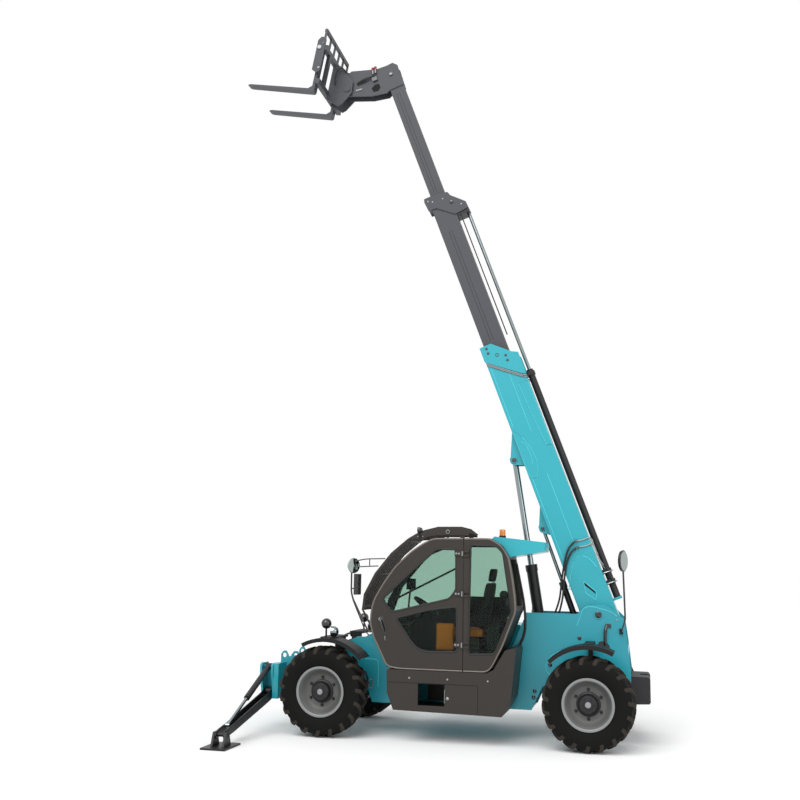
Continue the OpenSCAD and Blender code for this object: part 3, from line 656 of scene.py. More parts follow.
    def cap(self, at: Point, axis: Point, size: CapSize, steps: int = 32) -> Shape:
        """Adds a round cap with a chamfered rim.

        Args:
            at: The middle of its foot.
            axis: The way it points.
            size: Its radius, its wall's height, its top's radius and its full height.
            steps: Facets round it.

        Returns:
            This shape.
        """
        radius, wall, top, height = size
        profile = [(radius, 0), (radius, wall), (top, height), (0, height)]
        return self.lathe(profile, at, axis, steps)

    def bolt(self, at: Point, axis: Point, size: float = 12.0, height: float = 9.0) -> Shape:
        """Adds a hexagon bolt head on a washer.

        Args:
            at: Where it sits.
            axis: The way it points.
            size: Radius over the head's corners.
            height: Height of the head.

        Returns:
            This shape.
        """
        sunk, washer, spread = 2, 2.5, 1.25
        foot, up = Vector(at), Vector(axis).normalized()
        self.tube([foot - up * sunk, foot + up * washer], size * spread, 16)
        return self.tube([foot, foot + up * (height + washer)], size, 6)

    def ball(self, at: Point, radius: float, steps: int = 20) -> Shape:
        """Adds a ball.

        Args:
            at: Its middle.
            radius: Its radius.
            steps: Facets round it.

        Returns:
            This shape.
        """
        half = steps // 2
        arc = [math.pi * (k / half - 0.5) for k in range(half + 1)]
        profile = [(radius * math.cos(a), radius * math.sin(a)) for a in arc]
        return self.lathe(profile, at, UP, steps)

    def cushion(
        self,
        low: Point,
        high: Point,
        thin: int,
        crown: float,
        lean: float = 0.0,
        seams: Sequence[float] = (),
    ) -> Shape:
        """Adds a stuffed cushion with crowned faces, a pulled-in rim and sewn channels.

        Args:
            low: The corner with the smallest coordinates.
            high: The corner with the largest ones.
            thin: The axis across its thickness.
            crown: How far its broad faces rise in the middle.
            lean: How far X moves for each step up.
            seams: Places of the sewn channels across Y, from minus one to one.

        Returns:
            This shape.
        """
        count, roundness, pull, groove, groove_width = 24, 7, 9.0, 7.0, 0.06
        middle, half = (Vector(low) + Vector(high)) / 2, (Vector(high) - Vector(low)) / 2
        wide, long = (k for k in range(3) if k != thin)
        index: dict[tuple[int, ...], int] = {}
        points: list[Vector] = []

        def point(cell: tuple[int, ...]) -> int:
            """Gives the number of a grid cell's corner, made at its first use.

            Args:
                cell: Steps along the three axes.

            Returns:
                The corner's number.
            """
            if cell not in index:
                cube = [2 * c / count - 1 for c in cell]
                scale = sum(abs(c) ** roundness for c in cube) ** (-1 / roundness)
                u = [c * scale for c in cube]
                at = [middle[k] + half[k] * u[k] for k in range(3)]
                rise = (1 - u[wide] ** 2) * (1 - u[long] ** 2)
                dip = sum(math.exp(-(((u[1] - seam) / groove_width) ** 2)) for seam in seams)
                at[thin] += u[thin] * (crown * rise - groove * dip)
                at[wide] -= pull * u[wide] ** 3 * (1 - u[long] ** 2)
                at[long] -= pull * u[long] ** 3 * (1 - u[wide] ** 2)
                at[0] += lean * (at[2] - low[2])
                index[cell] = len(points)
                points.append(Vector(at))
            return index[cell]

        faces = []
        grid = [(axis, level) for axis in range(3) for level in (0, count)]
        for axis, level in grid:
            for a, b in ((a, b) for a in range(count) for b in range(count)):
                ring = [(a, b), (a + 1, b), (a + 1, b + 1), (a, b + 1)]
                cells = [(*c[:axis], level, *c[axis:]) for c in ring]
                turned = cells if (level > 0) == (axis != 1) else cells[::-1]
                faces.append([point(c) for c in turned])
        return self._put(points, faces)

    def build(
        self,
        name: str,
        palette: Palette,
        body: str | None,
        *,
        replaces: Sequence[str] = (),
        bevel: float = 0.0,
        sharp: float = 35.0,
    ) -> bpy.types.Object:
        """Makes the mesh object and lets it ride on a body.

        Args:
            name: The piece's name.
            palette: Where its materials come from.
            body: The CAD body that it moves with, or nothing for a piece on no body.
            replaces: CAD nodes that it stands for.
            bevel: Width of rounded edges in millimetres.
            sharp: Angle above which an edge stays sharp.

        Returns:
            The object.
        """
        mesh = bpy.data.meshes.new(name)
        mesh.from_pydata([self.place @ p for p in self.points], [], self.faces)
        for finish in self.finishes:
            mesh.materials.append(palette.get(finish))
        mesh.polygons.foreach_set("material_index", self.marks)
        mesh.polygons.foreach_set("use_smooth", [True] * len(mesh.polygons))
        mesh.update()
        mesh.set_sharp_from_angle(angle=math.radians(sharp))
        thing = bpy.data.objects.new(name, mesh)
        bpy.context.scene.collection.objects.link(thing)
        if bevel:
            rounding = thing.modifiers.new("rounded_edges", "BEVEL")
            rounding.width = bevel * MM
            rounding.segments = 2
            rounding.limit_method = "ANGLE"
            rounding.angle_limit = math.radians(sharp)
            rounding.harden_normals = False
        if body:
            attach(thing, body)
        if replaces:
            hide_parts(*replaces)
        return thing


@dataclass
class Machine:
    """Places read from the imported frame, in millimetres.

    Attributes:
        ground: The machine's frame: X from half way between the axles.
        boom: The boom's frame: X along it from its pivot, Z away from the ground side.
        carriage: The carriage's frame: X along the fork blades from its pivot.
        tyre_r: The tyres' radius.
        tyre_w: The tyres' width.
        cab_out: Y of the door's outer face.
        track: Distance between the middles of left and right tyre.
        axle_x: X of the front axle.
        boom_half: Half the base section's width, without its doublers.
        base_end: End of the base section along the boom.
        mid_end: End of the middle section.
        tip_reach: Foot of the head on the tip section.
        ext_n: The extension cylinder's distance from the boom's line.
        FORK_TILT: The fork blades' slope at rest, in radians.
        GLASS_DEPTH: How far the door's glass lies behind its face.
        DOUBLER: Thickness of the widest plate on the base section's sides.
        BASE_LIP: What stands out beyond the base section's end.
        TIP_HEAD: Length of the tip's head.
        BARREL_R: Radius of the extension cylinder at its widest.
    """

    frame: dict
    ground: Matrix = field(init=False)
    boom: Matrix = field(init=False)
    carriage: Matrix = field(init=False)
    tyre_r: float = field(init=False)
    tyre_w: float = field(init=False)
    cab_out: float = field(init=False)
    track: float = field(init=False)
    axle_x: float = field(init=False)
    boom_half: float = field(init=False)
    base_end: float = field(init=False)
    mid_end: float = field(init=False)
    tip_reach: float = field(init=False)
    ext_n: float = field(init=False)
    FORK_TILT: ClassVar[float] = math.radians(10.4)
    GLASS_DEPTH: ClassVar[float] = 18.0
    DOUBLER: ClassVar[float] = 14.0
    BASE_LIP: ClassVar[float] = 5.0
    TIP_HEAD: ClassVar[float] = 540.0
    BARREL_R: ClassVar[float] = 62.0

    def __post_init__(self) -> None:
        """Reads the places."""
        joints = {j["name"]: j for j in self.frame["joints"]}
        low_f, high_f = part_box("tyre_fl")
        low_r, high_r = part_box("tyre_rl")
        middle = (low_f.x + high_f.x + low_r.x + high_r.x) / 4
        self.tyre_r = (high_f.z - low_f.z) / 2 / MM
        self.tyre_w = (high_f.y - low_f.y) / MM
        self.track = (low_f.y + high_f.y) / MM
        self.axle_x = (low_f.x + high_f.x - low_r.x - high_r.x) / 4 / MM
        self.cab_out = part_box("door_glass")[1].y / MM + self.GLASS_DEPTH
        low_b, high_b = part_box("boom_base")
        self.boom_half = (high_b.y - low_b.y) / 2 / MM - self.DOUBLER
        scale = Matrix.Scale(MM, 4)
        along = joints["boom_extend"]["axis"]
        lean = Matrix.Rotation(-math.atan2(along[2], along[0]), 4, "Y")
        tilt = Matrix.Rotation(-self.FORK_TILT, 4, "Y")
        self.ground = Matrix.Translation((middle, 0, 0)) @ scale
        self.boom = Matrix.Translation(joints["boom_lift"]["pos_m"]) @ lean @ scale
        self.carriage = Matrix.Translation(joints["carriage_tilt"]["pos_m"]) @ tilt @ scale
        self.base_end = self._top("boom_base", 0) - self.BASE_LIP
        self.mid_end = self._top("boom_mid", 0)
        self.tip_reach = self._top("boom_tip", 0) - self.TIP_HEAD
        self.ext_n = self._top("extension_barrel", 2) - self.BARREL_R

    def _top(self, node: str, axis: int) -> float:
        """Gives how far a node reaches in the boom's frame.

        Args:
            node: The CAD node.
            axis: Nought for along the boom, two for away from the ground side.

        Returns:
            The greatest coordinate in millimetres.
        """
        back = self.boom.inverted()
        return max((back @ v.co)[axis] for v in self.frame["nodes"][node].data.vertices)

    def on_boom(self, outline: Outline) -> list[Vector]:
        """Gives corners in the machine's X and Z as places in the boom's frame."""
        return [self.boom.inverted() @ self.ground @ Vector(p) for p in upright(outline, 0)]


CAD_FINISH: dict[Finish, tuple[str, ...]] = {
    Finish.TURQUOISE: ("frame", "roof_cowl", "engine_hood", "boom_base"),
    # the side plates and engine pod take the turquoise darkened as painted shade
    Finish.DUSTY: ("plate_left", "plate_right", "engine_pod"),
    Finish.CHARCOAL: ("boom_mid", "boom_tip", "carriage", "forks", "tilt_barrel"),
    Finish.BLACK: (
        "extension_barrel", "lift_barrel", "level_barrel", "leg_left", "leg_right",
        "pad_left", "pad_right", "leg_barrel_left", "leg_barrel_right", "exhaust",
    ),
    Finish.CAB: (
        "cab_floor", "cab_side", "cab_right", "cab_rear",
        "cab_roof", "cab_door", "cab_skirt", "front_guard",
    ),
    Finish.CAST: (
        "counterweight", "front_axle", "rear_axle", "engine_block",
        "knuckle_fl", "knuckle_fr", "knuckle_rl", "knuckle_rr",
    ),
    Finish.BLACK_PLASTIC: ("fenders", "console", "mirrors"),
    Finish.TYRE: ("tyre_fl", "tyre_fr", "tyre_rl", "tyre_rr"),
    Finish.WHEEL: ("rim_fl", "rim_fr", "rim_rl", "rim_rr"),
    Finish.CHROME: (
        "extension_rod", "tilt_rod", "lift_rod", "level_rod",
        "leg_rod_left", "leg_rod_right", "lamps",
    ),
    Finish.GLASS: ("cab_glass", "door_glass"),
    Finish.SEAT: ("seat",),
    Finish.RUBBER: ("boom_hoses",),
}


@dataclass
class Assembly:
    """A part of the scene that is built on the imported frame.

    Attributes:
        machine: Places read from the frame.
        palette: Where materials come from.
    """

    machine: Machine
    palette: Palette

    def start(self, finish: Finish, place: Matrix | None = None) -> Shape:
        """Begins a piece.

        Args:
            finish: The finish of its first faces.
            place: Its frame, or nothing for the machine's own.

        Returns:
            The empty piece.
        """
        return Shape(self.machine.ground if place is None else place).use(finish)

    def build(self) -> None:
        """Builds the sub-assembly's pieces in order."""
        raise NotImplementedError


@dataclass
class Paint(Assembly):
    """The finishes of the CAD nodes."""

    def build(self) -> None:
        """Gives every CAD node its finish."""
        for finish, nodes in CAD_FINISH.items():
            for node in nodes:
                materials = self.machine.frame["nodes"][node].data.materials
                materials.clear()
                materials.append(self.palette.get(finish))


@dataclass
class Wheels(Assembly):
    """The four lugged tyres and their steel wheels with planetary hubs.

    Profiles are pairs of radius and distance outward.

    Attributes:
        facets: Facets round tyre and rim.
        sidewall: The tyre's side as radius and distance in from its outer face.
        shoulder: Its shoulder as depth under the lugs and distance in from its outer face.
        tread_depth: Depth under the lugs of the tread's middle.
        lug_count: Lugs on each half of the tread.
        lug_sweep: Angle in radians that a lug turns back on its way to the side.
        lug_foot: Half a lug's foot over its width.
        lug_top: Half a lug's top over its width.
        lug_run: Share of the sweep, place across, depths of foot and top, and width.
        lug_end: The same near the side, with the place in from the outer face.
        rim_lip: Profile of the rim's outer lip.
        rim_back: Profile of its inner lip.
        rim_well: Profile of its well.
        disc: Profile of the dished disc.
        hub: Profile of the planetary hub.
        plug: Profile of the hub's plug.
        bolts: Bolts in each ring.
        studs: Ring radius and seat of the wheel studs.
        cover_bolts: Ring radius and seat of the hub cover's bolts.
    """

    facets: int = 96
    sidewall: Outline = (
        (308, 34), (330, 33), (345, 22), (362, 18), (366, 14),
        (378, 13), (384, 9), (430, 4), (470, 4), (506, 10),
    )
    shoulder: Outline = ((50, 22), (42, 46), (37, 90))
    tread_depth: float = 35.0
    lug_count: int = 19
    lug_sweep: float = 0.24
    lug_foot: float = 0.5
    lug_top: float = 0.41
    lug_run: Line = (
        (0.0, -10, 40, 2, 34), (0.16, 22, 41, 1, 46), (0.45, 80, 42, 2, 50),
        (0.72, 135, 46, 8, 56), (0.9, 172, 58, 24, 62),
    )
    lug_end: Line = ((1.0, 12, 72, 58, 62), (1.04, 5, 100, 92, 58))
    rim_lip: Outline = (
        (304, 150), (304, 168), (312, 172), (322, 172), (325, 176), (324, 181),
        (300, 181), (292, 176), (286, 160), (284, 128), (276, 112),
    )
    rim_back: Outline = (
        (304, -150), (304, -168), (325, -170), (325, -181), (296, -181), (290, -150),
    )
    rim_well: Outline = ((290, -150), (290, 110))
    disc: Outline = (
        (276, 112), (262, 98), (240, 78), (224, 66), (206, 60),
        (150, 60), (150, 40), (206, 42), (230, 50), (290, 92),
    )
    hub: Outline = (
        (150, 58), (150, 74), (146, 80), (132, 84), (124, 90), (118, 104), (116, 140),
        (112, 158), (104, 166), (62, 170), (58, 176), (40, 177), (0, 177),
    )
    plug: Outline = ((36, 170), (36, 179), (32, 182), (0, 182))
    bolts: int = 6
    studs: tuple[float, float] = (178, 60)
    cover_bolts: tuple[float, float] = (86, 168)

    def build(self) -> None:
        """Makes the four tyres and wheels."""
        for end in "fr":
            for side, turn in (("l", 0.0), ("r", math.pi)):
                tag = end + side
                low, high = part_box(f"tyre_{tag}")
                flip = Matrix.Rotation(turn, 4, "Z")
                place = Matrix.Translation((low + high) / 2) @ flip @ Matrix.Scale(MM, 4)
                self._tyre(place, tag)
                self._wheel(place, tag)

    def _tyre(self, place: Matrix, tag: str) -> None:
        """Makes one tyre with its lugs.

        Args:
            place: The wheel's frame, with Y outward.
            tag: Which wheel.
        """
        r, w = self.machine.tyre_r, self.machine.tyre_w / 2
        half = [(radius, w - inset) for radius, inset in self.sidewall]
        half += [(r - depth, w - inset) for depth, inset in self.shoulder]
        back = [(radius, -y) for radius, y in reversed(half)]
        shape = self.start(Finish.TYRE, place)
        shape.lathe([*half, (r - self.tread_depth, 0), *back, half[0]], ORIGIN, LEFT, self.facets)
        shape.use(Finish.TREAD)
        for side, offset in ((1, 0.0), (-1, math.pi / self.lug_count)):
            for turn in turns(self.lug_count):
                shape.loft(self._lug(turn + offset, side))
        shape.build(
            f"tyre_{tag}_lugged", self.palette, f"wheel_{tag}",
            replaces=[f"tyre_{tag}"], bevel=3, sharp=38,
        )

    def _lug(self, start: float, side: int) -> list[Line]:
        """Gives the rings of one lug.

        Args:
            start: Its angle at the tread's middle.
            side: One for the outer half of the tread, minus one for the inner one.

        Returns:
            The rings from the middle to the side.
        """
        r, w = self.machine.tyre_r, self.machine.tyre_w / 2
        ends = [(share, w - inset, *rest) for share, inset, *rest in self.lug_end]
        rings = []
        for share, across, foot, top, width in (*self.lug_run, *ends):
            corners = (
                (foot, self.lug_foot), (top, self.lug_top),
                (top, -self.lug_top), (foot, -self.lug_foot),
            )
            ring = []
            for depth, part in corners:
                a = start - self.lug_sweep * share + part * width / r
                ring.append(((r - depth) * math.cos(a), side * across, (r - depth) * math.sin(a)))
            # the inner half's rings run the other way, so that its faces look outward too
            rings.append(ring[::side])
        return rings

    def _wheel(self, place: Matrix, tag: str) -> None:
        """Makes one steel wheel with its planetary hub.

        Args:
            place: The wheel's frame, with Y outward.
            tag: Which wheel.
        """
        shape = self.start(Finish.RIM, place)
        for profile in (self.rim_lip, self.rim_back, self.rim_well):
            shape.lathe(profile, ORIGIN, LEFT, self.facets)
        shape.use(Finish.WHEEL).lathe(self.disc, ORIGIN, LEFT, self.facets)
        shape.use(Finish.BLACK).lathe(self.hub, ORIGIN, LEFT)
        for turn in turns(self.bolts):
            (ring, seat), a = self.studs, turn + math.pi / self.bolts
            x, z = ring * math.cos(a), ring * math.sin(a)
            shape.bolt((x, seat, z), LEFT, 17, 16).rod((x, seat + 10, z), (x, seat + 32, z), 9, 12)
        for turn in turns(self.bolts):
            ring, seat = self.cover_bolts
            shape.bolt((ring * math.cos(turn), seat, ring * math.sin(turn)), LEFT, 10, 7)
        shape.use(Finish.ZINC).lathe(self.plug, ORIGIN, LEFT, 32)
        shape.build(
            f"wheel_{tag}_steel", self.palette, f"wheel_{tag}", replaces=[f"rim_{tag}"], sharp=32
        )


@dataclass
class Cab(Assembly):
    """The cab's window seals, edge rolls, door fittings and controls.

    Places are in the machine's frame. The grip, its plate, the lock and the key's tag have Y from
    the door's face.

    Attributes:
        seal: Radius, lift off the glass and bend of the window seals.
        roll: Radius, depth behind the face, inset and bend of the edge rolls.
        hinge_x: X of the hinge line at the middle post.
        hinge_z: Heights of the hinges.
        leaf: Lowest and highest corner of a hinge leaf from the hinge line, the face and a height.
        knuckle: A hinge knuckle's place from there, and its half height and radius.
        leaf_bolts: Places of a leaf's bolts from the hinge line.
        grip: The door grip's line.
        grip_plate: The plate behind it.
        lock: Place of the lock.
        lock_size: Size of the lock.
        tag: Ends of the key's tag.
        strut: Ends and joint of the door's gas strut as X and Z.
        strut_depth: How far the strut lies behind the door's face.
        panels: Boxes of the console, linings and pedal.
        levers: Ends and radius of the levers, the wheel's boss and the pedal's arm.
        knob: Place and radius of the lever's knob.
        lining: The dark lining of the far side.
        lining_y: Y of its two faces.
        housing: Profile of the round housing behind the seat.
        housing_at: Its place.
        housing_way: The way that it looks.
    """

    seal: tuple[float, float, float] = (15, 10, 45)
    roll: tuple[float, float, float, float] = (12, 6, 8, 60)
    hinge_x: float = -163.0
    hinge_z: tuple[float, ...] = (1250.0, 1895.0, 2410.0)
    leaf: tuple[Point, Point] = ((16, 13.6, -30), (120, 19, 30))
    knuckle: tuple[float, float, float, float] = (18, 22, 32, 9)
    leaf_bolts: tuple[float, ...] = (62, 98)
    grip: Line = ((938, 4, 1560), (926, 34, 1520), (892, 38, 1420), (880, 4, 1370))
    grip_plate: Outline = ((905, 1590), (965, 1570), (905, 1350), (845, 1350))
    lock: Line = ((940, 0, 1545),)
    lock_size: CapSize = (24, 8, 17, 11)
    tag: Line = ((872, 4, 1330), (868, 9, 1275))
    strut: Outline = ((830, 1770), (380, 2000), (-40, 2215))
    strut_depth: float = 80.0
    panels: tuple[tuple[Point, Point], ...] = (
        ((530, 850, 1930), (650, 905, 2075)),
        ((-690, 398, 1590), (-90, 408, 1850)),
        ((-700, 440, 1740), (-690, 1040, 1860)),
        ((-620, 400, 960), (-460, 1040, 1500)),
        ((380, 760, 1040), (470, 840, 1075)),
    )
    levers: tuple[tuple[Point, Point, float], ...] = (
        ((600, 880, 1930), (640, 870, 1500), 12),
        ((270, 1010, 1560), (290, 1010, 1690), 12),
        ((455, 715, 1640), (440, 715, 1665), 60),
        ((300, 800, 954), (430, 800, 1060), 14),
    )
    knob: tuple[Point, float] = ((290, 1010, 1700), 28)
    lining: Outline = (
        (-640, 960), (760, 960), (905, 1570), (530, 1646), (85, 1742), (-90, 1795), (-640, 1795),
    )
    lining_y: tuple[float, float] = (398, 408)
    housing: Outline = ((56, 0), (56, 40), (40, 52), (0, 54))
    housing_at: Point = (-678, 990, 1892)
    housing_way: Point = (0.3, 1, 0)

    def build(self) -> None:
        """Makes the cab's pieces."""
        self._seals()
        self._edge_rolls()
        self._door_fittings()
        self._gas_strut()
        self._controls()

    def _seals(self) -> None:
        """Runs round rubber seals along the windows' outlines."""
        nodes = self.machine.frame["nodes"]
        quarter = max(v.co.y for v in nodes["cab_glass"].data.vertices)
        radius, lift, bend = self.seal
        for name, node, body, level in (
            ("door_window_seals", "door_glass", "door", None),
            ("quarter_window_seal", "cab_glass", "chassis", quarter),
        ):
            shape = self.start(Finish.RUBBER, Matrix.Scale(MM, 4))
            for loop in rims_of(nodes[node], level):
                line = [p / MM + Vector((0, lift, 0)) for p in loop]
                shape.tube(smooth(line, bend, True), radius, 8, True)
            shape.build(name, self.palette, body, sharp=SOFT)

    def _edge_rolls(self) -> None:
        """Rolls the outer edges of the door and of the side behind it."""
        out, back = self.machine.cab_out, self.machine.ground.inverted()
        radius, depth, inset, bend = self.roll
        for node, body in (("cab_door", "door"), ("cab_side", "chassis")):
            corners = [v.co for v in self.machine.frame["nodes"][node].data.vertices]
            face = [back @ c for c in corners if abs(c.y - out * MM) < SAME_LEVEL]
            flat = sorted({(round(p.x, 1), round(p.z, 1)) for p in face})
            line = [Vector((flat[i][0], out - depth, flat[i][1])) for i in convex_hull_2d(flat)]
            # the longest straight is the joint between door and side, which has no roll
            first = max(range(len(line)), key=lambda i: (line[i] - line[i - 1]).length)
            middle = sum(line, Vector()) / len(line)
            kept = [p + (middle - p).normalized() * inset for p in line[first:] + line[:first]]
            # the roll's paler lacquer is painted highlight on the cab's edge
            shape = self.start(Finish.EDGE).tube(smooth(kept, bend), radius, 10)
            shape.build(f"{node}_edge_roll", self.palette, body, sharp=SOFT)

    def _door_fittings(self) -> None:
        """Makes the door's hinges, grip, lock and key."""
        out, post = self.machine.cab_out, self.hinge_x
        low, high = self.leaf
        x, y, tall, radius = self.knuckle
        shape = self.start(Finish.CAB)
        for z in self.hinge_z:
            at = Vector((post, out, z))
            shape.use(Finish.CAB).box(at + Vector(low), at + Vector(high)).use(Finish.ZINC)
            shape.rod(at + Vector((x, y, -tall)), at + Vector((x, y, tall)), radius, 16)
            for along in self.leaf_bolts:
                shape.bolt((post + along, out + high[1], z), LEFT, 11, 6)
        shape.use(Finish.GLOSS_BLACK).tube(smooth(moved(self.grip, out), 25), 13)
        shape.plate(self.grip_plate, out - 4, out + 5).use(Finish.ZINC)
        shape.cap(*moved(self.lock, out), LEFT, self.lock_size, 24)
        shape.rod(*moved(self.tag, out), 5, 8)
        shape.build("door_fittings", self.palette, "door", bevel=2)

    def _gas_strut(self) -> None:
        """Makes the gas strut that holds the door."""
        foot, joint, end = upright(self.strut, self.machine.cab_out - self.strut_depth)
        shape = self.start(Finish.BLACK_PLASTIC).rod(foot, end, 13)
        shape.use(Finish.CHROME).rod(joint, end, 8)
        shape.build("door_gas_strut", self.palette, "door")

    def _controls(self) -> None:
        """Makes the levers, linings and pedal that show through the glass."""
        shape = self.start(Finish.BLACK_PLASTIC)
        for low, high in self.panels:
            shape.box(low, high)
        for a, b, radius in self.levers:
            shape.rod(a, b, radius)
        shape.plate(self.lining, *self.lining_y).ball(*self.knob)
        shape.lathe(self.housing, self.housing_at, self.housing_way, 32)
        shape.build("cab_controls", self.palette, "chassis", bevel=8)


@dataclass(frozen=True)
class Pad:
    """One stuffed part of the seat.

    Attributes:
        name: The piece's name.
        finish: Its cover.
        low: Its lowest corner.
        high: Its highest corner.
        thin: The axis across its thickness.
        crown: How far its faces rise.
        fill: How full it is stuffed.
        lean: How far X moves for each step up.
        seams: Places of its sewn channels, from minus one to one.
        replaces: CAD nodes that it stands for.
    """

    name: str
    finish: Finish
    low: Point
    high: Point
    thin: int
    crown: float
    fill: float
    lean: float = 0.0
    seams: tuple[float, ...] = ()
    replaces: tuple[str, ...] = ()


@dataclass
class Seat(Assembly):
    """The padded seat on its bellows.

    Attributes:
        pads: The stuffed parts.
        stand: Lowest and highest corner of the stand.
        fold: Lowest and highest corner of a bellows fold, from a height.
        folds: Heights of the bellows' folds.
        posts: Y of the headrest's posts.
    """

    pads: tuple[Pad, ...] = (
        Pad("seat_side_pad", Finish.SEAT, (-30, 965, 1160), (215, 1050, 1520), 1, 12, 0.8),
        Pad(
            "seat_cushion", Finish.SEAT, (-395, 485, 1342), (78, 945, 1440), 2, 20, 0.8,
            seams=(-0.5, 0.5), replaces=("seat",),
        ),
        Pad(
            "seat_back", Finish.CLOTH, (-412, 505, 1446), (-310, 925, 2045), 0, 8, 0.8,
            lean=-0.177, seams=(-0.55, 0.55),
        ),
        Pad(
            "seat_headrest", Finish.CLOTH, (-508, 595, 2052), (-432, 835, 2228), 0, 8, 0.9,
            lean=-0.17,
        ),
    )
    stand: tuple[Point, Point] = ((-330, 560, 955), (0, 870, 1338))
    fold: tuple[Point, Point] = ((-340, 550, 0), (10, 880, 22))
    folds: tuple[float, ...] = tuple(range(1000, 1320, 40))
    posts: tuple[float, ...] = (650, 780)

    def build(self) -> None:
        """Makes the pads and the stand."""
        for pad in self.pads:
            shape = self.start(pad.finish)
            shape.cushion(pad.low, pad.high, pad.thin, pad.crown, pad.lean, pad.seams)
            thing = shape.build(
                pad.name, self.palette, "chassis", replaces=pad.replaces, sharp=SOFT
            )
        shape = self.start(Finish.RUBBER).box(*self.stand)
        low, high = self.fold
        for z in self.folds:
            shape.box((*low[:2], low[2] + z), (*high[:2], high[2] + z))
        shape.use(Finish.CHROME)
        for y in self.posts:
            shape.rod((-492, y, 2030), (-496, y, 2075), 7, 12)
        shape.build("seat_suspension", self.palette, "chassis", bevel=6)


@dataclass
class Skirt(Assembly):
    """The skirt's joints, rivets, lock and lining, and the cab's rear seal.

    Attributes:
        proud: How far the skirt's face lies outside the door's.
        joints: Panel joints as lowest and highest X and Z, and how far they show.
        rivets: X and Z of the rivets.
        rivet: Profile of a rivet.
        lock_at: X and Z of the lock.
        lock: Profile of the lock.
        latch: Lowest and highest corner of the latch strip, with Y from the face.
        lining: Lowest and highest corner of the plate behind the step.
        rear_edge: The rear seal's line.
    """

    proud: float = 20.0
    joints: tuple[tuple[float, ...], ...] = (
        (-350, 750, 820, 758, 1.2), (-364, 396, -356, 757, 1.2),
        (66, 474, 72, 762, 1.5), (413, 474, 419, 762, 1.5),
    )
    rivets: Outline = ((533, 815), (32, 815), (-487, 815))
    rivet: Outline = ((13, -1), (12, 3), (0, 6))
    lock_at: tuple[float, float] = (29, 579)
    lock: Outline = ((20, -1), (20, 5), (14, 9), (0, 9))
    latch: Line = ((64, 0, 520), (70, 4, 690))
    lining: tuple[Point, Point] = ((50, 402, 460), (440, 412, 780))
    rear_edge: Line = (
        (-760, 412, 2300), (-870, 412, 1750), (-884, 412, 1390), (-770, 412, 1160),
    )

    def build(self) -> None:
        """Makes the trim and the rear seal."""
        out = self.machine.cab_out + self.proud
        shape = self.start(Finish.SHADOW)
        for x0, z0, x1, z1, shown in self.joints:
            shape.box((x0, out - 3, z0), (x1, out + shown, z1))
        shape.use(Finish.ZINC)
        for at in upright(self.rivets, out):
            shape.lathe(self.rivet, at, LEFT, 20)
        shape.lathe(self.lock, *upright([self.lock_at], out), LEFT, 24)
        shape.box(*moved(self.latch, out))
        shape.use(Finish.CAB).box(*self.lining)
        shape.build("skirt_trim", self.palette, "chassis", bevel=1)
        shape = self.start(Finish.RUBBER).tube(smooth(self.rear_edge, 150), 17)
        shape.build("cab_rear_seal", self.palette, "chassis")


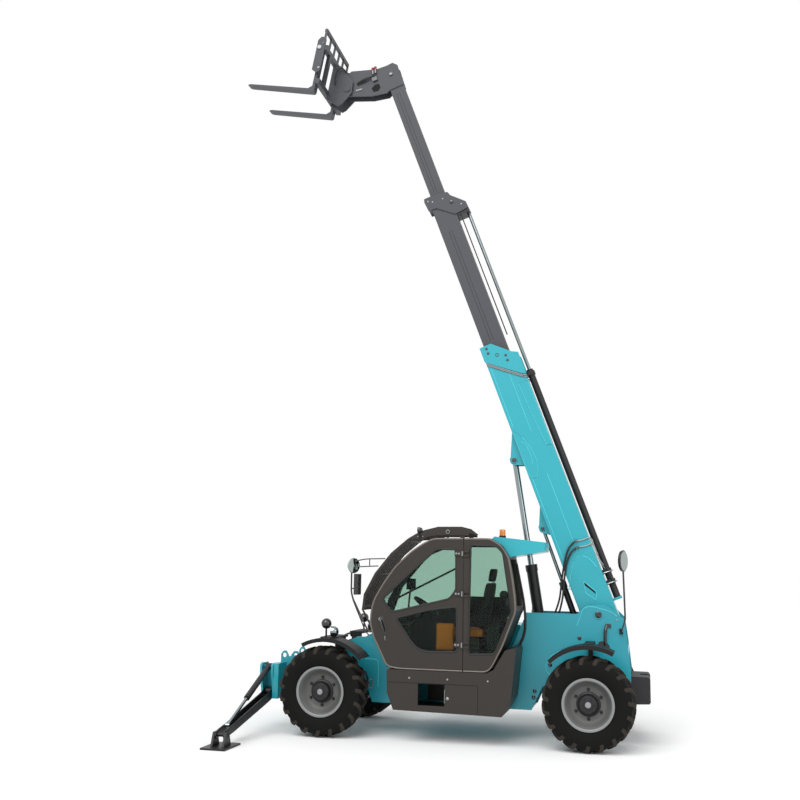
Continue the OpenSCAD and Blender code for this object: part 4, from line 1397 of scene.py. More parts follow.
@dataclass
class Lamps(Assembly):
    """Headlamps, ball lamps, tail lamps, beacon and the guard's work lamp.

    Attributes:
        bowl: Profile of a headlamp's bowl.
        glass: Profile of its lens.
        foot: Profile of its foot.
        fender_rise: Height of the lamps' seats over the tyres.
        head_up: Height of a headlamp over its seat.
        head_back: How far it stands behind the axle.
        ball_up: Height of a ball lamp over its seat.
        ball_r: Radius of a ball lamp.
        inset: How far the lamps stand in from the middles of the tyres.
        tail_y: Inner and outer Y of a tail lamp.
        tail_z: Lowest height, end of red, start of amber and highest height of its lenses.
        beacon: X and Y of the beacon.
        beacon_foot: Profile of its foot, from its top.
        beacon_dome: Profile of its dome, from its top.
        work_bowl: Profile of the work lamp's bowl.
        work_glass: Profile of its lens.
        work: The work lamp's place, with Y from the guard's cheek.
        brackets: Boxes of the lamp's and the ring's brackets, with Y from the cheek.
        bracket_bolts: The bracket's bolts, with Y from the cheek.
        ring: X, height and radius of the guard's ring.
    """

    bowl: Outline = (
        (0, -52), (30, -50), (54, -34), (66, -8), (70, 20), (70, 42), (66, 44), (62, 40),
    )
    glass: Outline = ((62, 38), (40, 44), (0, 46))
    foot: Outline = ((30, 0), (26, 12), (14, 20), (0, 20))
    fender_rise: float = 113.0
    head_up: float = 72.0
    head_back: float = 120.0
    ball_up: float = 172.0
    ball_r: float = 70.0
    inset: float = 20.0
    tail_y: tuple[float, float] = (290.5, 379.5)
    tail_z: tuple[float, float, float, float] = (704, 754, 758, 806)
    beacon: tuple[float, float] = (-595, 605)
    beacon_foot: Outline = ((44, -112), (46, -106), (46, -86), (40, -84))
    beacon_dome: Outline = ((40, -86), (40, -16), (36, -4), (26, 0), (0, 0))
    work_bowl: Outline = ((0, -36), (20, -34), (32, -18), (36, 6), (36, 30), (32, 32))
    work_glass: Outline = ((32, 28), (16, 33), (0, 34))
    work: Line = ((440, 2, 2713),)
    brackets: tuple[Line, ...] = (
        ((429, 0.2, 2616), (451, 6, 2684)),
        ((386, 0.2, 2616), (474, 5, 2638)),
        ((52, -14, 2606), (74, -2, 2660)),
    )
    bracket_bolts: Line = ((398, 5, 2627), (464, 5, 2627))
    ring: tuple[float, float, float] = (63, 2693, 23)

    def build(self) -> None:
        """Makes the lamps and the guard's fittings."""
        shape = self.start(Finish.CHROME)
        for side in (1, -1):
            self._head(shape, side)
            self._tail(shape, side)
        top = (*self.beacon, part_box("lamps")[1].z / MM)
        shape.use(Finish.BLACK_PLASTIC).lathe(self.beacon_foot, top, UP, 32)
        shape.use(Finish.AMBER).lathe(self.beacon_dome, top, UP, 32)
        shape.build("lamps_dressed", self.palette, "chassis", replaces=["lamps"], sharp=40)
        self._guard()

    def _head(self, shape: Shape, side: int) -> None:
        """Adds a headlamp and a ball lamp on a front fender.

        Args:
            shape: The piece.
            side: One for left, minus one for right.
        """
        m = self.machine
        y, seat = side * (m.track / 2 - self.inset), 2 * m.tyre_r + self.fender_rise
        x, post = m.axle_x - self.head_back, m.axle_x - 2
        lamp = (x, y, seat + self.head_up)
        shape.use(Finish.CHROME).lathe(self.bowl, lamp, AHEAD, 40)
        shape.use(Finish.LENS).lathe(self.glass, lamp, AHEAD, 40)
        shape.use(Finish.BLACK_PLASTIC).lathe(self.foot, (x, y, seat), UP, 24)
        shape.lathe([(13, 0), (12, 110)], (post, y, seat), UP, 16)
        shape.use(Finish.GLOSS_BLACK).ball((post, y, seat + self.ball_up), self.ball_r, 36)

    def _tail(self, shape: Shape, side: int) -> None:
        """Adds a tail lamp on the counterweight.

        Args:
            shape: The piece.
            side: One for left, minus one for right.
        """
        tail = (self.machine.ground.inverted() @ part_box("counterweight")[0]).x
        a, b = sorted(side * y for y in self.tail_y)
        low, red, amber, high = self.tail_z
        shape.use(Finish.BLACK_PLASTIC)
        shape.box((tail + 8, a, low - 3.5), (tail + 29.5, b, high + 3.5))
        shape.use(Finish.RED).box((tail + 1, a + 4, low), (tail + 9, b - 4, red))
        shape.use(Finish.AMBER).box((tail + 1, a + 4, amber), (tail + 9, b - 4, high))

    def _guard(self) -> None:
        """Makes the work lamp and the ring on the guard's cheek."""
        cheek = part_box("front_guard")[1].y / MM - 4
        (lamp,) = moved(self.work, cheek)
        shape = self.start(Finish.GLOSS_BLACK).lathe(self.work_bowl, lamp, AHEAD, 32)
        shape.use(Finish.LENS).lathe(self.work_glass, lamp, AHEAD, 32)
        shape.use(Finish.BLACK_PLASTIC)
        for bracket in self.brackets:
            shape.box(*moved(bracket, cheek))
        shape.use(Finish.ZINC)
        for at in moved(self.bracket_bolts, cheek):
            shape.bolt(at, LEFT, 7)
        x, z, r = self.ring
        circle = [(x + r * math.cos(t), cheek + 5, z + r * math.sin(t)) for t in turns(24)]
        shape.tube(circle, 5, 8, True)
        shape.build("guard_fittings", self.palette, "chassis", sharp=40)


@dataclass
class Mirrors(Assembly):
    """The rear and front mirrors with their stalks.

    The front mirrors' lines have Y from the stalk, which stands inside the door's face.

    Attributes:
        bracket: Lowest and highest corner of the rear mirror's bracket.
        rear_stalk: The rear mirror's stalk.
        rear: Middle of the rear mirror.
        rear_way: The way that its back looks.
        rear_shell: Half width and half height of its shell.
        rear_glass: Half width and half height of its glass.
        stalk_depth: How far the front stalk stands inside the door's face.
        stalk: The front stalk.
        brace: The brace behind it.
        joint: The joint to the square mirror.
        square: Lowest and highest corner of the square mirror's shell.
        square_glass: Lowest and highest corner of its glass.
        round_at: Middle of the round mirror.
        round_way: The way that it looks.
        round_shell: Profile of its shell.
        round_glass: Profile of its glass.
        arms: The two arms to the cab.
        tie: The tie between them.
    """

    bracket: tuple[Point, Point] = ((-2152, 401, 1412), (-2108, 424, 1482))
    rear_stalk: Line = (
        (-2130, 415, 1444), (-2130, 560, 1444), (-2140, 600, 1460),
        (-2190, 600, 1600), (-2172, 600, 2240),
    )
    rear: Point = (-2165, 610, 2357)
    rear_way: Point = (0.819, -0.574, 0)
    rear_shell: tuple[float, float] = (88, 141)
    rear_glass: tuple[float, float] = (76, 127)
    stalk_depth: float = 53.0
    stalk: Line = ((1078, 0, 1372), (1120, 0, 1385), (1362, 0, 1850), (1364, 0, 2268))
    brace: Line = ((1100, 0, 1330), (1150, 0, 1370), (1345, 0, 1800), (1360, 0, 1900))
    joint: Line = ((1362, 0, 1925), (1275, 0, 1940))
    square: Line = ((1237, -36, 1852), (1290, 141, 2123))
    square_glass: Line = ((1235.5, -24, 1864), (1238, 129, 2111))
    round_at: Line = ((1351, 7, 2230),)
    round_way: Point = (-0.8, 0.6, 0)
    round_shell: Outline = ((0, -4), (60, 0), (92, 10), (100, 22), (100, 30), (93, 32))
    round_glass: Outline = ((93, 31), (60, 34), (0, 36))
    arms: tuple[Line, ...] = (
        ((1366, 0, 2255), (1283, 0, 2300), (1161, -10, 2322), (907, -14, 2330)),
        ((1366, 0, 2200), (1281, 0, 2216), (1000, -14, 2232)),
    )
    tie: Line = ((1120, -10, 2322), (1120, -10, 2228))

    def build(self) -> None:
        """Makes the mirrors and the front mirrors' arms."""
        y = self.machine.cab_out - self.stalk_depth
        shape = self.start(Finish.BLACK_PLASTIC).box(*self.bracket)
        shape.use(Finish.GLOSS_BLACK).tube(smooth(self.rear_stalk, 50), 12)
        shape.loft(self._oval(self.rear_shell, ((-28, 0.9), (-18, 1), (10, 0.96), (28, 0.6))))
        shape.use(Finish.MIRROR).loft(self._oval(self.rear_glass, ((-29.5, 1), (-27, 1))))
        shape.use(Finish.GLOSS_BLACK).tube(smooth(moved(self.stalk, y), 80), 11)
        shape.tube(smooth(moved(self.brace, y), 60), 8).tube(moved(self.joint, y), 9)
        shape.box(*moved(self.square, y))
        shape.use(Finish.MIRROR).box(*moved(self.square_glass, y))
        (middle,) = moved(self.round_at, y)
        shape.use(Finish.CHROME).lathe(self.round_shell, middle, self.round_way, 48)
        shape.use(Finish.MIRROR).lathe(self.round_glass, middle, self.round_way, 48)
        shape.build(
            "mirrors_dressed", self.palette, "chassis", replaces=["mirrors"], bevel=5, sharp=40
        )
        shape = self.start(Finish.GLOSS_BLACK)
        for arm in self.arms:
            shape.tube(smooth(moved(arm, y), 60), 8)
        shape.rod(*moved(self.tie, y), 7)
        shape.build("mirror_arms", self.palette, "chassis")

    def _oval(self, half: tuple[float, float], steps: Outline) -> list[list[Vector]]:
        """Gives rings of the rear mirror's upright oval.

        Args:
            half: Half its width and half its height.
            steps: Each ring's distance along the axis and its size over the full size.

        Returns:
            The rings.
        """
        along, up = Vector(self.rear_way).normalized(), Vector(UP)
        side = along.cross(up) * half[0]
        tall = up * half[1]
        return [
            [
                Vector(self.rear) + along * step + (side * math.cos(t) + tall * math.sin(t)) * scale
                for t in turns(40)
            ]
            for step, scale in steps
        ]


@dataclass
class BoomBase(Assembly):
    """The base section's doublers, welds, fasteners and pipes.

    Places are along the boom and away from its ground side. Those named head count back from the
    section's end.

    Attributes:
        foot: The foot's weld in the machine's X and Z, drawn as a pale line of painted highlight.
        window: Corners of the opening in the foot, in the machine's X and Z.
        window_shade: Share of the opening that a black plate of painted shade covers.
        welds: Start, end and height of the pale weld lines near the foot, painted highlight along
            the boom's folds.
        head_welds: Start, end before the section's end and height of those near the head.
        doublers: Outlines of the doubling plates.
        slot: The weld in the lower doubler, drawn as a pale line of painted highlight.
        head_bolts: Bolts at the head.
        head_ring: Ring at the head.
        ring: Profile of that ring.
        pins: Place, radius and Y of the cylinders' pins.
        head_pipe: The pipes round the head, with Y from the boom's side.
        head_pipe_gaps: How far back each of them lies.
        pipe_bends: Upper and lower end of each pipe's bend, how far its end lies ahead, and its
            end's Y.
        clips: Places of the pipes' clips.
        straps: Places of the straps round the extension cylinder.
    """

    foot: Outline = (
        (-1440, 1960), (-1469, 2176), (-1521, 2374), (-1606, 2432), (-1718, 2387), (-1810, 2276),
    )
    window: Outline = ((-1636, 2084), (-1806, 1946), (-1805, 1835), (-1664, 1922))
    window_shade: float = 0.3
    welds: Line = ((850, 2010, 20), (820, 2010, -196))
    head_welds: Line = ((2640, 480, 20), (2790, 330, -196))
    doublers: tuple[Outline, ...] = (
        ((3350, 90), (3338, 228), (2372, 228), (2385, 150), (2800, 118)),
        (
            (2757, -228), (2609, -127), (2420, -66), (2232, -45),
            (2090, -84), (2011, -129), (2030, -190), (2090, -228),
        ),
    )
    slot: Outline = ((2560, -160), (2500, -118), (2330, -98), (2220, -112), (2200, -140))
    head_bolts: Outline = ((46, -157), (118, -158), (235, 67), (312, 67))
    head_ring: tuple[float, float] = (186, -46)
    ring: Outline = ((26, 0), (26, 3), (17, 3), (17, 0))
    pins: Line = ((2354, -350, 34, 112), (1327, -316, 24, 88))
    head_pipe: Line = ((222, 10, -236), (560, 10, 180), (590, 4, 246))
    head_pipe_gaps: tuple[float, ...] = (24, 48)
    pipe_bends: Line = ((990, 1005, 0, 100), (900, 920, 40, 70))
    clips: tuple[float, ...] = (930, 740)
    straps: tuple[float, ...] = (335, 485)

    def build(self) -> None:
        """Makes the doublers, the fasteners and the pipes."""
        self._doublers()
        self._fasteners()
        self._pipes()

    def _doublers(self) -> None:
        """Makes the pale weld lines and the doubling plates' pale rims, both painted highlight, the
        plates themselves and the extension cylinder's foot.
        """
        m, end = self.machine, self.machine.base_end
        lines = [*self.welds, *((a, end - b, n) for a, b, n in self.head_welds)]
        foot = [(p.x, p.z) for p in m.on_boom(self.foot)]
        shape = self.start(Finish.BEAD, m.boom)
        for side in (1, -1):
            face = side * m.boom_half
            # weld lines and the foot's line in a paler turquoise than the plate: painted highlight
            shape.use(Finish.BEAD)
            for a, b, n in lines:
                shape.tube([(a, face, n), (b, face, n)], 5, 8)
            shape.tube(smooth(upright(foot, face), 90), 6, 8)
            for outline in self.doublers:
                shape.use(Finish.TURQUOISE).plate(outline, face - side, face + side * 6)
                # a pale rim round each doubler: painted highlight on its edge
                shape.use(Finish.BEAD).tube(upright(outline, face + side * 5), 4, 6, True)
            shape.tube(smooth(upright(self.slot, face + side * 6), 40), 4, 8)
        shape.use(Finish.TURQUOISE).box((96, -66, m.ext_n - 66), (130, 66, m.ext_n + 60))
        shape.build("boom_doublers", self.palette, "boom", bevel=2)

    def _fasteners(self) -> None:
        """Makes the opening's pale rim of painted highlight, a black plate of painted shade over
        its upper part, the bolts, the pins and the pipes round the head.
        """
        m, end, half = self.machine, self.machine.base_end, self.machine.boom_half
        window = m.on_boom(self.window)
        a, b, c, d = window
        shade = (a, b, b.lerp(c, self.window_shade), a.lerp(d, self.window_shade))
        shape = self.start(Finish.CHARCOAL, m.boom)
        for side in (1, -1):
            out, face = (0, side, 0), side * (half + 6)
            rim = upright([(p.x, p.z) for p in window], face)
            # pale weld ring round the opening: painted highlight
            shape.use(Finish.BEAD).tube(smooth(rim, 20, True), 6, 8, True)
            # black plate over the opening's upper band: painted shade
            shape.use(Finish.SHADOW).plate([(p.x, p.z) for p in shade], face - side, face + side)
            shape.use(Finish.CHARCOAL)
            face = side * (half + m.DOUBLER)
            for back, n in self.head_bolts:
                shape.bolt((end - back, face, n), out, 15, 6)
            back, n = self.head_ring
            shape.lathe(self.ring, (end - back, face, n), out, 24)
            for s, n, r, y in self.pins:
                shape.cap((s, side * y, n), out, (r, 6, r - 8, 10), 24)
        shape.use(Finish.ZINC)
        for gap in self.head_pipe_gaps:
            for side in (1, -1):
                run = [(end - s - gap, side * (half + y), n) for s, y, n in self.head_pipe]
                shape.tube(run, 9, 10)
        shape.build("boom_fasteners", self.palette, "boom")

    def _pipes(self) -> None:
        """Makes the pipes on the boom's back with their clips, straps and hose."""
        ext, half = self.machine.ext_n, self.machine.boom_half
        y = half + 12
        shape = self.start(Finish.ZINC, self.machine.boom)
        for upper, lower, ahead, end_y in self.pipe_bends:
            run = [
                (lower, y + 8, 72),
                (upper, y, 150),
                (upper + 6, y, 238),
                (upper - 10, y - 26, 262),
                (upper - 330 + ahead, y - 40, 262),
                (upper - 400 + ahead, end_y, 285),
            ]
            shape.tube(smooth(run, 40), 9, 10)
        for s in self.clips:
            shape.box((s, half - 40, 236), (s + 26, half + 2, 275))
        shape.use(Finish.CHROME)
        for s in self.straps:
            for side in (1, -1):
                strap = [
                    (s, side * 74, 240), (s, side * 78, ext),
                    (s, side * 50, ext + 68), (s, 0, ext + 74),
                ]
                shape.tube(smooth(strap, 40), 8, 8)
        hose = [(650, 70, 300), (560, 66, ext), (300, 60, ext + 30)]
        shape.use(Finish.RUBBER).tube(smooth(hose, 60), 11)
        shape.build("boom_pipes", self.palette, "boom")


@dataclass
class BoomSections(Assembly):
    """The middle and tip sections' dark lines of painted shade along their folds, fittings and
    couplers.

    Places are along the boom and away from its ground side. The middle section's count back from
    its end, the tip's count on from the foot of its head.

    Attributes:
        mid_half: Half the middle section's width.
        mid_line: Its middle line's distance from the boom's.
        tip_half: Half the tip section's width.
        tip_line: Its middle line's distance from the boom's.
        fold_shade_gaps: Distances from the middle line of the dark lines of painted shade along the
            folds.
        mid_face: Y of the middle section's head.
        mid_bolts: Bolts on that head.
        mid_cap: Place of its pin's cap.
        mid_cap_size: Size of that cap.
        tip_face: Y of the tip's head.
        tip_pin: Place of the upper pin's cap.
        tip_pin_size: Size of that cap.
        tilt_pin: Place of the carriage pin's cap.
        tilt_pin_size: Size of that cap.
        tip_rod: Ends of the rod on the head.
        hatch: Outline of the opening in the head, drawn as a flat black plate of painted shade.
        block: Lowest and highest place of the coupler block.
        block_out: How far the block stands out.
        couplers: Heights of the couplers and how far their hoses lie back.
    """

    mid_half: float = 122.0
    mid_line: float = -28.0
    tip_half: float = 82.0
    tip_line: float = -33.0
    fold_shade_gaps: tuple[float, ...] = (-36, 8)
    mid_face: float = 138.0
    mid_bolts: Outline = ((112, 20), (96, -139), (60, -200), (300, 250))
    mid_cap: tuple[float, float] = (212, 124)
    mid_cap_size: CapSize = (30, 5, 20, 9)
    tip_face: float = 96.0
    tip_pin: tuple[float, float] = (215, -45)
    tip_pin_size: CapSize = (34, 6, 26, 8)
    tilt_pin: tuple[float, float] = (280, -760)
    tilt_pin_size: CapSize = (46, 8, 20, 12)
    tip_rod: Outline = ((182, -540), (198, -640))
    hatch: Outline = (
        (150, -270), (165, -330), (130, -400), (60, -395), (40, -320), (80, -265),
    )
    block: Outline = ((215, -345), (275, -265))
    block_out: float = 30.0
    couplers: Outline = ((-262, 0), (-306, 24))

    def build(self) -> None:
        """Makes both sections' dark lines of painted fold shade and their fittings."""
        m = self.machine
        mid, tip = (m.base_end + 60, m.mid_end - 620), (m.mid_end + 60, m.tip_reach - 120)
        self._welds("boom_mid", self.mid_half, self.mid_line, mid)
        self._welds("boom_tip", self.tip_half, self.tip_line, tip)
        self._mid_head()
        self._tip_head()

    def _welds(self, body: str, half: float, middle: float, reach: tuple[float, float]) -> None:
        """Makes dark strips of painted shade along one section's side folds.

        Args:
            body: The section.
            half: Half its width.
            middle: Its middle line.
            reach: Where the lines begin and end along the boom.
        """
        # black strips a fraction of a millimetre proud: painted shade where the sections' sides
        # fold
        shape = self.start(Finish.BLACK, self.machine.boom)
        for side in (1, -1):
            inner, outer = sorted((side * (half - 1), side * (half + 0.2)))
            for n in (middle + gap for gap in self.fold_shade_gaps):
                shape.box((reach[0], inner, n - 3), (reach[1], outer, n + 3))
        shape.build(f"{body}_welds", self.palette, body)

    def _mid_head(self) -> None:
        """Makes the bolts, pin cap, pipe and bridge of the middle section's head."""
        m, end = self.machine, self.machine.mid_end
        shape = self.start(Finish.ZINC, m.boom)
        for side in (1, -1):
            out, face = (0, side, 0), side * self.mid_face
            shape.use(Finish.ZINC)
            for back, n in self.mid_bolts:
                shape.bolt((end - back, face, n), out, 11, 5)
            back, n = self.mid_cap
            shape.use(Finish.GLOSS_BLACK).cap((end - back, face, n), out, self.mid_cap_size)
        pipe = [(m.base_end + 60, 105, 189), (end - 440, 105, 189)]
        shape.use(Finish.BLACK).tube(pipe, 9, 10)
        shape.box((end - 444, -123, 134), (end - 392, 123, m.ext_n + 21))
        shape.build("mid_head_fittings", self.palette, "boom_mid", bevel=3)

    def _tip_head(self) -> None:
        """Makes the pins, the black plate of painted shade in the opening, coupler blocks, couplers
        and hoses of the tip's head.
        """
        reach = self.machine.tip_reach
        (low_s, low_n), (high_s, high_n) = self.block
        shape = self.start(Finish.GLOSS_BLACK, self.machine.boom)
        for side in (1, -1):
            out, face = (0, side, 0), side * self.tip_face
            s, n = self.tip_pin
            shape.use(Finish.GLOSS_BLACK).cap((reach + s, face, n), out, self.tip_pin_size)
            shape.use(Finish.ZINC).bolt((reach + s, face + side * 7, n), out, 13, 6)
            s, n = self.tilt_pin
            shape.cap((reach + s, face + side * 8, n), out, self.tilt_pin_size)
            shape.rod(*upright([(reach + s, n) for s, n in self.tip_rod], face), 15, 16)
            hatch = [(reach + s, n) for s, n in self.hatch]
            # the opening is a flat black plate: painted shade
            shape.use(Finish.SHADOW).plate(hatch, face - side, face + side)
            inner, outer = sorted((face, face + side * self.block_out))
            shape.use(Finish.GLOSS_BLACK)
            shape.box((reach + low_s, inner, low_n), (reach + high_s, outer, high_n))
        for n, back in self.couplers:
            joint, nose = (reach + 392, 116, n + 22), (reach + 428, 118, n + 34)
            shape.use(Finish.ZINC).rod((reach + 330, 112, n), joint, 17, 16)
            shape.use(Finish.RED).rod(joint, nose, 21, 16)
            hose = [
                (reach + 275, 112, n), (reach + 300, 124, n - 60),
                (reach + 310 - back, 128, -460), (reach + 303 - back, 98, -590),
            ]
            shape.use(Finish.RUBBER).tube(smooth(hose, 80), 11, 10)
        shape.build("tip_couplers", self.palette, "boom_tip")


@dataclass
class Carriage(Assembly):
    """The fork carriage's pin caps, bolts and hose, in the carriage's frame.

    Attributes:
        face: Y of the carriage's cheeks.
        pin: X and Z of the fork bar's cap.
        pin_size: Size of that cap.
        upper_bolt: X and Z of the upper bolt.
        lower_bolt: X and Z of the lower bolt.
        hose: The hose's line.
    """

    face: float = 577.0
    pin: tuple[float, float] = (405, 430)
    pin_size: CapSize = (36, 8, 28, 14)
    upper_bolt: tuple[float, float] = (355, 500)
    lower_bolt: tuple[float, float] = (350, 100)
    hose: Line = ((40, 150, 250), (150, 180, 330), (230, 170, 200), (200, 150, 40))

    def build(self) -> None:
        """Makes the carriage's fittings."""
        places = (self.pin, self.upper_bolt, self.lower_bolt)
        shape = self.start(Finish.ZINC, self.machine.carriage)
        for side in (1, -1):
            out = (0, side, 0)
            pin, upper, lower = upright(places, side * self.face)
            shape.use(Finish.ZINC).cap(pin, out, self.pin_size)
            shape.use(Finish.GLOSS_BLACK).bolt(upper, out, 14, 8)
            shape.use(Finish.ZINC).bolt(lower, out, 13, 7)
        shape.use(Finish.RUBBER).tube(smooth(self.hose, 60), 10, 10)
        shape.build("carriage_fittings", self.palette, "carriage")


@dataclass
class Hoses(Assembly):
    """The two boom hoses.

    Attributes:
        starts: X and Z of the hoses' upper ends, on the boom's side.
        routes: The rest of each hose down to the chassis.
        radius: A hose's radius.
        sleeve: Radius and length of the crimped sleeve.
        bend: Where the hoses begin and end to bend.
    """

    starts: Outline = ((-1560, 2628), (-1572, 2536))
    routes: tuple[Line, ...] = (
        (
            (-1545, 195, 2622), (-1490, 206, 2580), (-1424, 208, 2489), (-1380, 208, 2300),
            (-1349, 208, 2098), (-1320, 208, 1832), (-1250, 212, 1637), (-1200, 225, 1480),
            (-1170, 270, 1370), (-1160, 330, 1320), (-1158, 374.7, 1310),
        ),
        (
            (-1557, 195, 2530), (-1500, 206, 2495), (-1450, 208, 2420), (-1410, 208, 2300),
            (-1391, 208, 2180), (-1358, 208, 1833), (-1310, 212, 1649), (-1270, 225, 1500),
            (-1245, 270, 1400), (-1235, 330, 1350), (-1233, 374.7, 1340),
        ),
    )
    radius: float = 13.0
    sleeve: tuple[float, float] = (17, 60)
    bend: Line = ((-1420, 208, 2480), (-1250, 215, 1640))

    def build(self) -> None:
        """Makes both hoses as one piece."""
        ground = self.machine.ground
        sleeve_r, sleeve_long = self.sleeve
        shape = self.start(Finish.RUBBER)
        for start, route in zip(upright(self.starts, self.machine.boom_half + 0.3), self.routes):
            line = [Vector(p) for p in (start, *route)]
            shape.use(Finish.RUBBER).tube(smooth(line, 90), self.radius, 16)
            along = (line[1] - line[0]).normalized()
            shape.use(Finish.ZINC).tube([line[0], line[0] + along * sleeve_long], sleeve_r)
        hoses = shape.build("boom_hoses_rubber", self.palette, None)
        start, end = (ground @ Vector(p) for p in self.bend)
        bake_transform(hoses)
        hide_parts("boom_hoses")


@dataclass
class SidePlates(Assembly):
    """The side plates' welds, pin caps, handles, rings and hoses, and the stabilisers' pins.

    Attributes:
        face: Y of the plates' outer faces.
        welds: Weld lines as X and Z.
        pivot: X and Z of the boom pivot's cap.
        pivot_size: Size of that cap.
        covers: X and Z of the small covers.
        cover_size: Size of a cover.
        handle: The handle's line, with Y from the face.
        handle_plate: Outline of the plate below the handle.
        block: Lowest and highest X and Z of the block above the handle.
        block_out: How far the block stands out.
        block_stud: X and Z of the stud on it.
        rear_stud: X and Z of the stud behind it.
        stud: Profile of the stud on the block.
        small_stud: Profile of the rear stud.
        ring: X and Z of the lashing ring.
        ring_half: Half its width and half its height.
        hose: The hose at the front plate, with Y from the face.
        pins: Name, Y, height and radius of the stabilisers' pins.
        pin_face: X of the face that the pins end at.
    """

    face: float = 400.0
    welds: tuple[Outline, ...] = (
        ((-1560, 1500), (-1640, 1740), (-1760, 1760), (-1990, 1700), (-2080, 1640)),
        ((-1350, 1180), (-1200, 1090), (-1150, 1010), (-1150, 900), (-1190, 860), (-1330, 860)),
        ((1330, 965), (1175, 965), (1140, 930), (1140, 600)),
    )
    pivot: tuple[float, float] = (-1840, 1655)
    pivot_size: CapSize = (44, 6, 36, 10)
    covers: Outline = ((-1590, 1345), (-1205, 985), (-1000, 640), (-985, 560))
    cover_size: CapSize = (26, 6, 20, 9)
    handle: Line = ((-1925, 0, 1250), (-1925, 24, 1290), (-1925, 24, 1450), (-1945, 0, 1520))
    handle_plate: Outline = (
        (-1850, 1310), (-1815, 1250), (-1850, 1205), (-1960, 1200), (-1985, 1250), (-1930, 1320),
    )
    block: Outline = ((-2000, 1490), (-1935, 1540))
    block_out: float = 20.0
    block_stud: tuple[float, float] = (-1950, 1510)
    rear_stud: tuple[float, float] = (-2080, 1590)
    stud: Outline = ((18, 0), (18, 5), (0, 8))
    small_stud: Outline = ((12, 0), (12, 4), (0, 7))
    ring: tuple[float, float] = (1240, 640)
    ring_half: tuple[float, float] = (34, 62)
    hose: Line = ((1330, 0, 800), (1300, 25, 750), (1270, 25, 640), (1320, 0, 560))
    pins: tuple[tuple[str, float, float, float], ...] = (
        ("leg_pin", 560, 490, 32), ("ram_pin", 625, 830, 24),
    )
    pin_face: float = 2745.0

    def build(self) -> None:
        """Makes each side's pieces."""
        for name, side in SIDES:
            # the weld lines are drawn in a paler turquoise than the plate: painted highlight
            panel = self.start(Finish.BEAD)
            for line in self.welds:
                panel.tube(smooth(upright(line, side * self.face), 60), 5, 8)
            panel.build(f"side_panel_welds_{name}", self.palette, "chassis")
            self._fittings(name, side)
            for part, y, z, r in self.pins:
                at = (self.pin_face, side * y, z)
                pin = self.start(Finish.ZINC).cap(at, AHEAD, (r + 8, 8, r - 4, 12))
                pin.bolt((self.pin_face, side * y, z + r + 26), AHEAD, 10, 6)
                pin.build(f"{part}_{name}", self.palette, "chassis")

    def _fittings(self, name: str, side: int) -> None:
        """Makes one side plate's caps, handle, ring and hose.

        Args:
            name: Which side.
            side: One for left, minus one for right.
        """
        out, y = (0, side, 0), side * self.face
        shape = self.start(Finish.GLOSS_BLACK)
        shape.cap(*upright([self.pivot], y + side * 8), out, self.pivot_size)
        for at in upright(self.covers, y):
            shape.cap(at, out, self.cover_size, 24)
        handle, hose = (
            [(x, side * (self.face + lift), z) for x, lift, z in line]
            for line in (self.handle, self.hose)
        )
        shape.tube(smooth(handle, 40), 21).plate(self.handle_plate, y - side, y + side * 16)
        inner, outer = sorted((y, y + side * self.block_out))
        (x0, z0), (x1, z1) = self.block
        shape.box((x0, inner, z0), (x1, outer, z1)).use(Finish.ZINC)
        shape.lathe(self.stud, *upright([self.block_stud], y + side * 2), out, 20)
        shape.lathe(self.small_stud, *upright([self.rear_stud], y), out, 20)
        (x, z), (wide, tall) = self.ring, self.ring_half
        ring = [(x + wide * math.cos(t), z + tall * math.sin(t)) for t in turns(24)]
        shape.tube(upright(ring, y + side * 18), 7, 8, True)
        shape.use(Finish.RUBBER).tube(smooth(hose, 60), 12)
        shape.build(f"side_fittings_{name}", self.palette, "chassis", bevel=1.5)


class LightKind(Enum):
    """The kinds of light, with the name of the setting that spreads each."""

    SUN = "angle"
    AREA = "size"


@dataclass(frozen=True)
class Lamp:
    """One light of the studio.

    Attributes:
        name: Its name.
        kind: Its kind.
        at: Its place in the machine's frame.
        spread: A sun's angle in radians or an area's width in metres.
        power: Its strength.
    """

    name: str
    kind: LightKind
    at: Point
    spread: float
    power: float


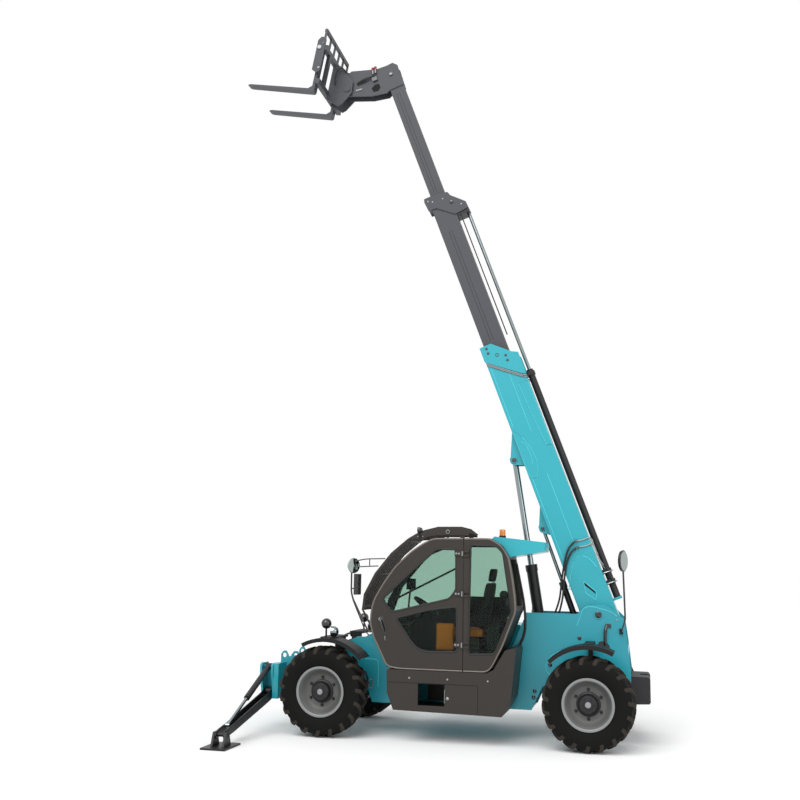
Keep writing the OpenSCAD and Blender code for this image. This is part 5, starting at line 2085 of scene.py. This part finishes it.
@dataclass
class Studio(Assembly):
    """Camera, light and floor.

    Attributes:
        camera_at: The camera's place in the machine's frame.
        yaw: Its turn from looking straight to the right, in degrees.
        pitch: Its tilt upward.
        roll: Its roll.
        focal_px: Its focal length in pixels of the photo.
        frame_px: The photo's width in pixels.
        sensor: The sensor's width in millimetres.
        clip: How far it sees, in metres.
        sky: What the sky gives as light, and what it shows to the camera and in reflections.
        lamps: The lights.
        target: What they point at, in the machine's frame.
        floor_reach: Half the floor's width in metres.
        floor_drop: How far it lies under the tyres.
    """

    camera_at: Point = (-2480.0, 14330.0, 2210.0)
    yaw: float = 13.68
    pitch: float = 9.38
    roll: float = 1.14
    focal_px: float = 1017.0
    frame_px: float = 800.0
    sensor: float = 36.0
    clip: float = 200.0
    sky: tuple[float, float] = (0.55, 1.0)
    lamps: tuple[Lamp, ...] = (
        Lamp("key_sky", LightKind.SUN, (2000, 9000, 12000), math.radians(50), 2.2),
        Lamp("fill_softbox", LightKind.AREA, (-11000, 9000, 7000), 9.0, 450),
    )
    target: Point = (0, 0, 3000)
    floor_reach: float = 60.0
    floor_drop: float = 0.001

    def build(self) -> None:
        """Sets up the studio."""
        self._camera()
        self._sky()
        self._lights()
        self._floor()
        bpy.context.scene.view_settings.view_transform = "Standard"

    @staticmethod
    def _show(name: str, data: bpy.types.ID) -> bpy.types.Object:
        """Puts a camera, light or mesh into the scene.

        Args:
            name: The object's name.
            data: What it shows.

        Returns:
            The object.
        """
        thing = bpy.data.objects.new(name, data)
        bpy.context.scene.collection.objects.link(thing)
        return thing

    def _camera(self) -> None:
        """Puts the camera where the photo was taken from."""
        data = bpy.data.cameras.new("photo_camera")
        data.sensor_width = self.sensor
        data.lens = self.sensor * self.focal_px / self.frame_px
        data.clip_end = self.clip
        yaw, pitch, roll = (math.radians(a) for a in (self.yaw, self.pitch, self.roll))
        level = Vector((math.sin(yaw), -math.cos(yaw), 0))
        right = Vector((-math.cos(yaw), -math.sin(yaw), 0))
        ahead = level * math.cos(pitch) + Vector(UP) * math.sin(pitch)
        up = Vector(UP) * math.cos(pitch) - level * math.sin(pitch)
        across = right * math.cos(roll) + up * math.sin(roll)
        above = up * math.cos(roll) - right * math.sin(roll)
        turn = Matrix((across, above, -ahead)).transposed().to_4x4()
        thing = self._show("photo_camera", data)
        place = self.machine.ground @ Vector(self.camera_at)
        thing.matrix_world = Matrix.Translation(place) @ turn
        bpy.context.scene.camera = thing

    def _sky(self) -> None:
        """Makes a white sky that lights less than it shows."""
        world = bpy.data.worlds.new("soft_studio")
        world.use_nodes = True
        tree = world.node_tree
        shown = tree.nodes["Background"]
        shown.inputs["Color"].default_value = linear("#FFFFFF")
        path = add_node(tree, "ShaderNodeLightPath").outputs
        seen = path["Is Camera Ray"]
        for other in ("Is Glossy Ray", "Is Transmission Ray"):
            rays = {0: seen, 1: path[other]}
            seen = add_node(tree, "ShaderNodeMath", rays, operation="MAXIMUM").outputs["Value"]
        least, most = self.sky
        span = {"Value": seen, "To Min": least, "To Max": most}
        level = add_node(tree, "ShaderNodeMapRange", span).outputs["Result"]
        tree.links.new(level, shown.inputs["Strength"])
        bpy.context.scene.world = world

    def _lights(self) -> None:
        """Lights the machine softly from above and from behind the camera."""
        target = self.machine.ground @ Vector(self.target)
        for lamp in self.lamps:
            data = bpy.data.lights.new(lamp.name, lamp.kind.name)
            setattr(data, lamp.kind.value, lamp.spread)
            data.energy = lamp.power
            start = self.machine.ground @ Vector(lamp.at)
            turn = (target - start).to_track_quat("-Z", "Y").to_matrix().to_4x4()
            self._show(lamp.name, data).matrix_world = Matrix.Translation(start) @ turn

    def _floor(self) -> None:
        """Lays a plain pale floor under the wheels."""
        mesh = bpy.data.meshes.new("floor")
        r = self.floor_reach
        mesh.from_pydata([(-r, -r, 0), (r, -r, 0), (r, r, 0), (-r, r, 0)], [], [(0, 1, 2, 3)])
        mesh.materials.append(self.palette.get(Finish.FLOOR))
        thing = self._show("floor", mesh)
        thing.location.z = -self.floor_drop
        thing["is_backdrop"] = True


def write_size(stage: str, sizes: dict[str, list[list[float]]]) -> None:
    """Notes the shown object's box among the notes so far.

    Args:
        stage: Which moment this is.
        sizes: The notes, added to here.
    """
    sizes[stage] = [list(corner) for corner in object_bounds()]


def main() -> None:
    """Builds the sub-assemblies in order and reports each piece."""
    logging.basicConfig(level=logging.INFO, format="%(message)s")
    bpy.ops.wm.read_factory_settings(use_empty=True)
    sizes: dict[str, list[list[float]]] = {}
    machine = Machine(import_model())
    write_size("before", sizes)
    palette = Palette()
    for kind in (
        Paint, Wheels, Cab, Seat, Skirt, Lamps, Mirrors,
        BoomBase, BoomSections, Carriage, Hoses, SidePlates, Studio,
    ):
        kind(machine, palette).build()
    write_size("after", sizes)
    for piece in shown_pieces():
        LOG.info("piece %s: %d faces", piece.name, len(piece.data.polygons))


if __name__ == "__main__":
    main()
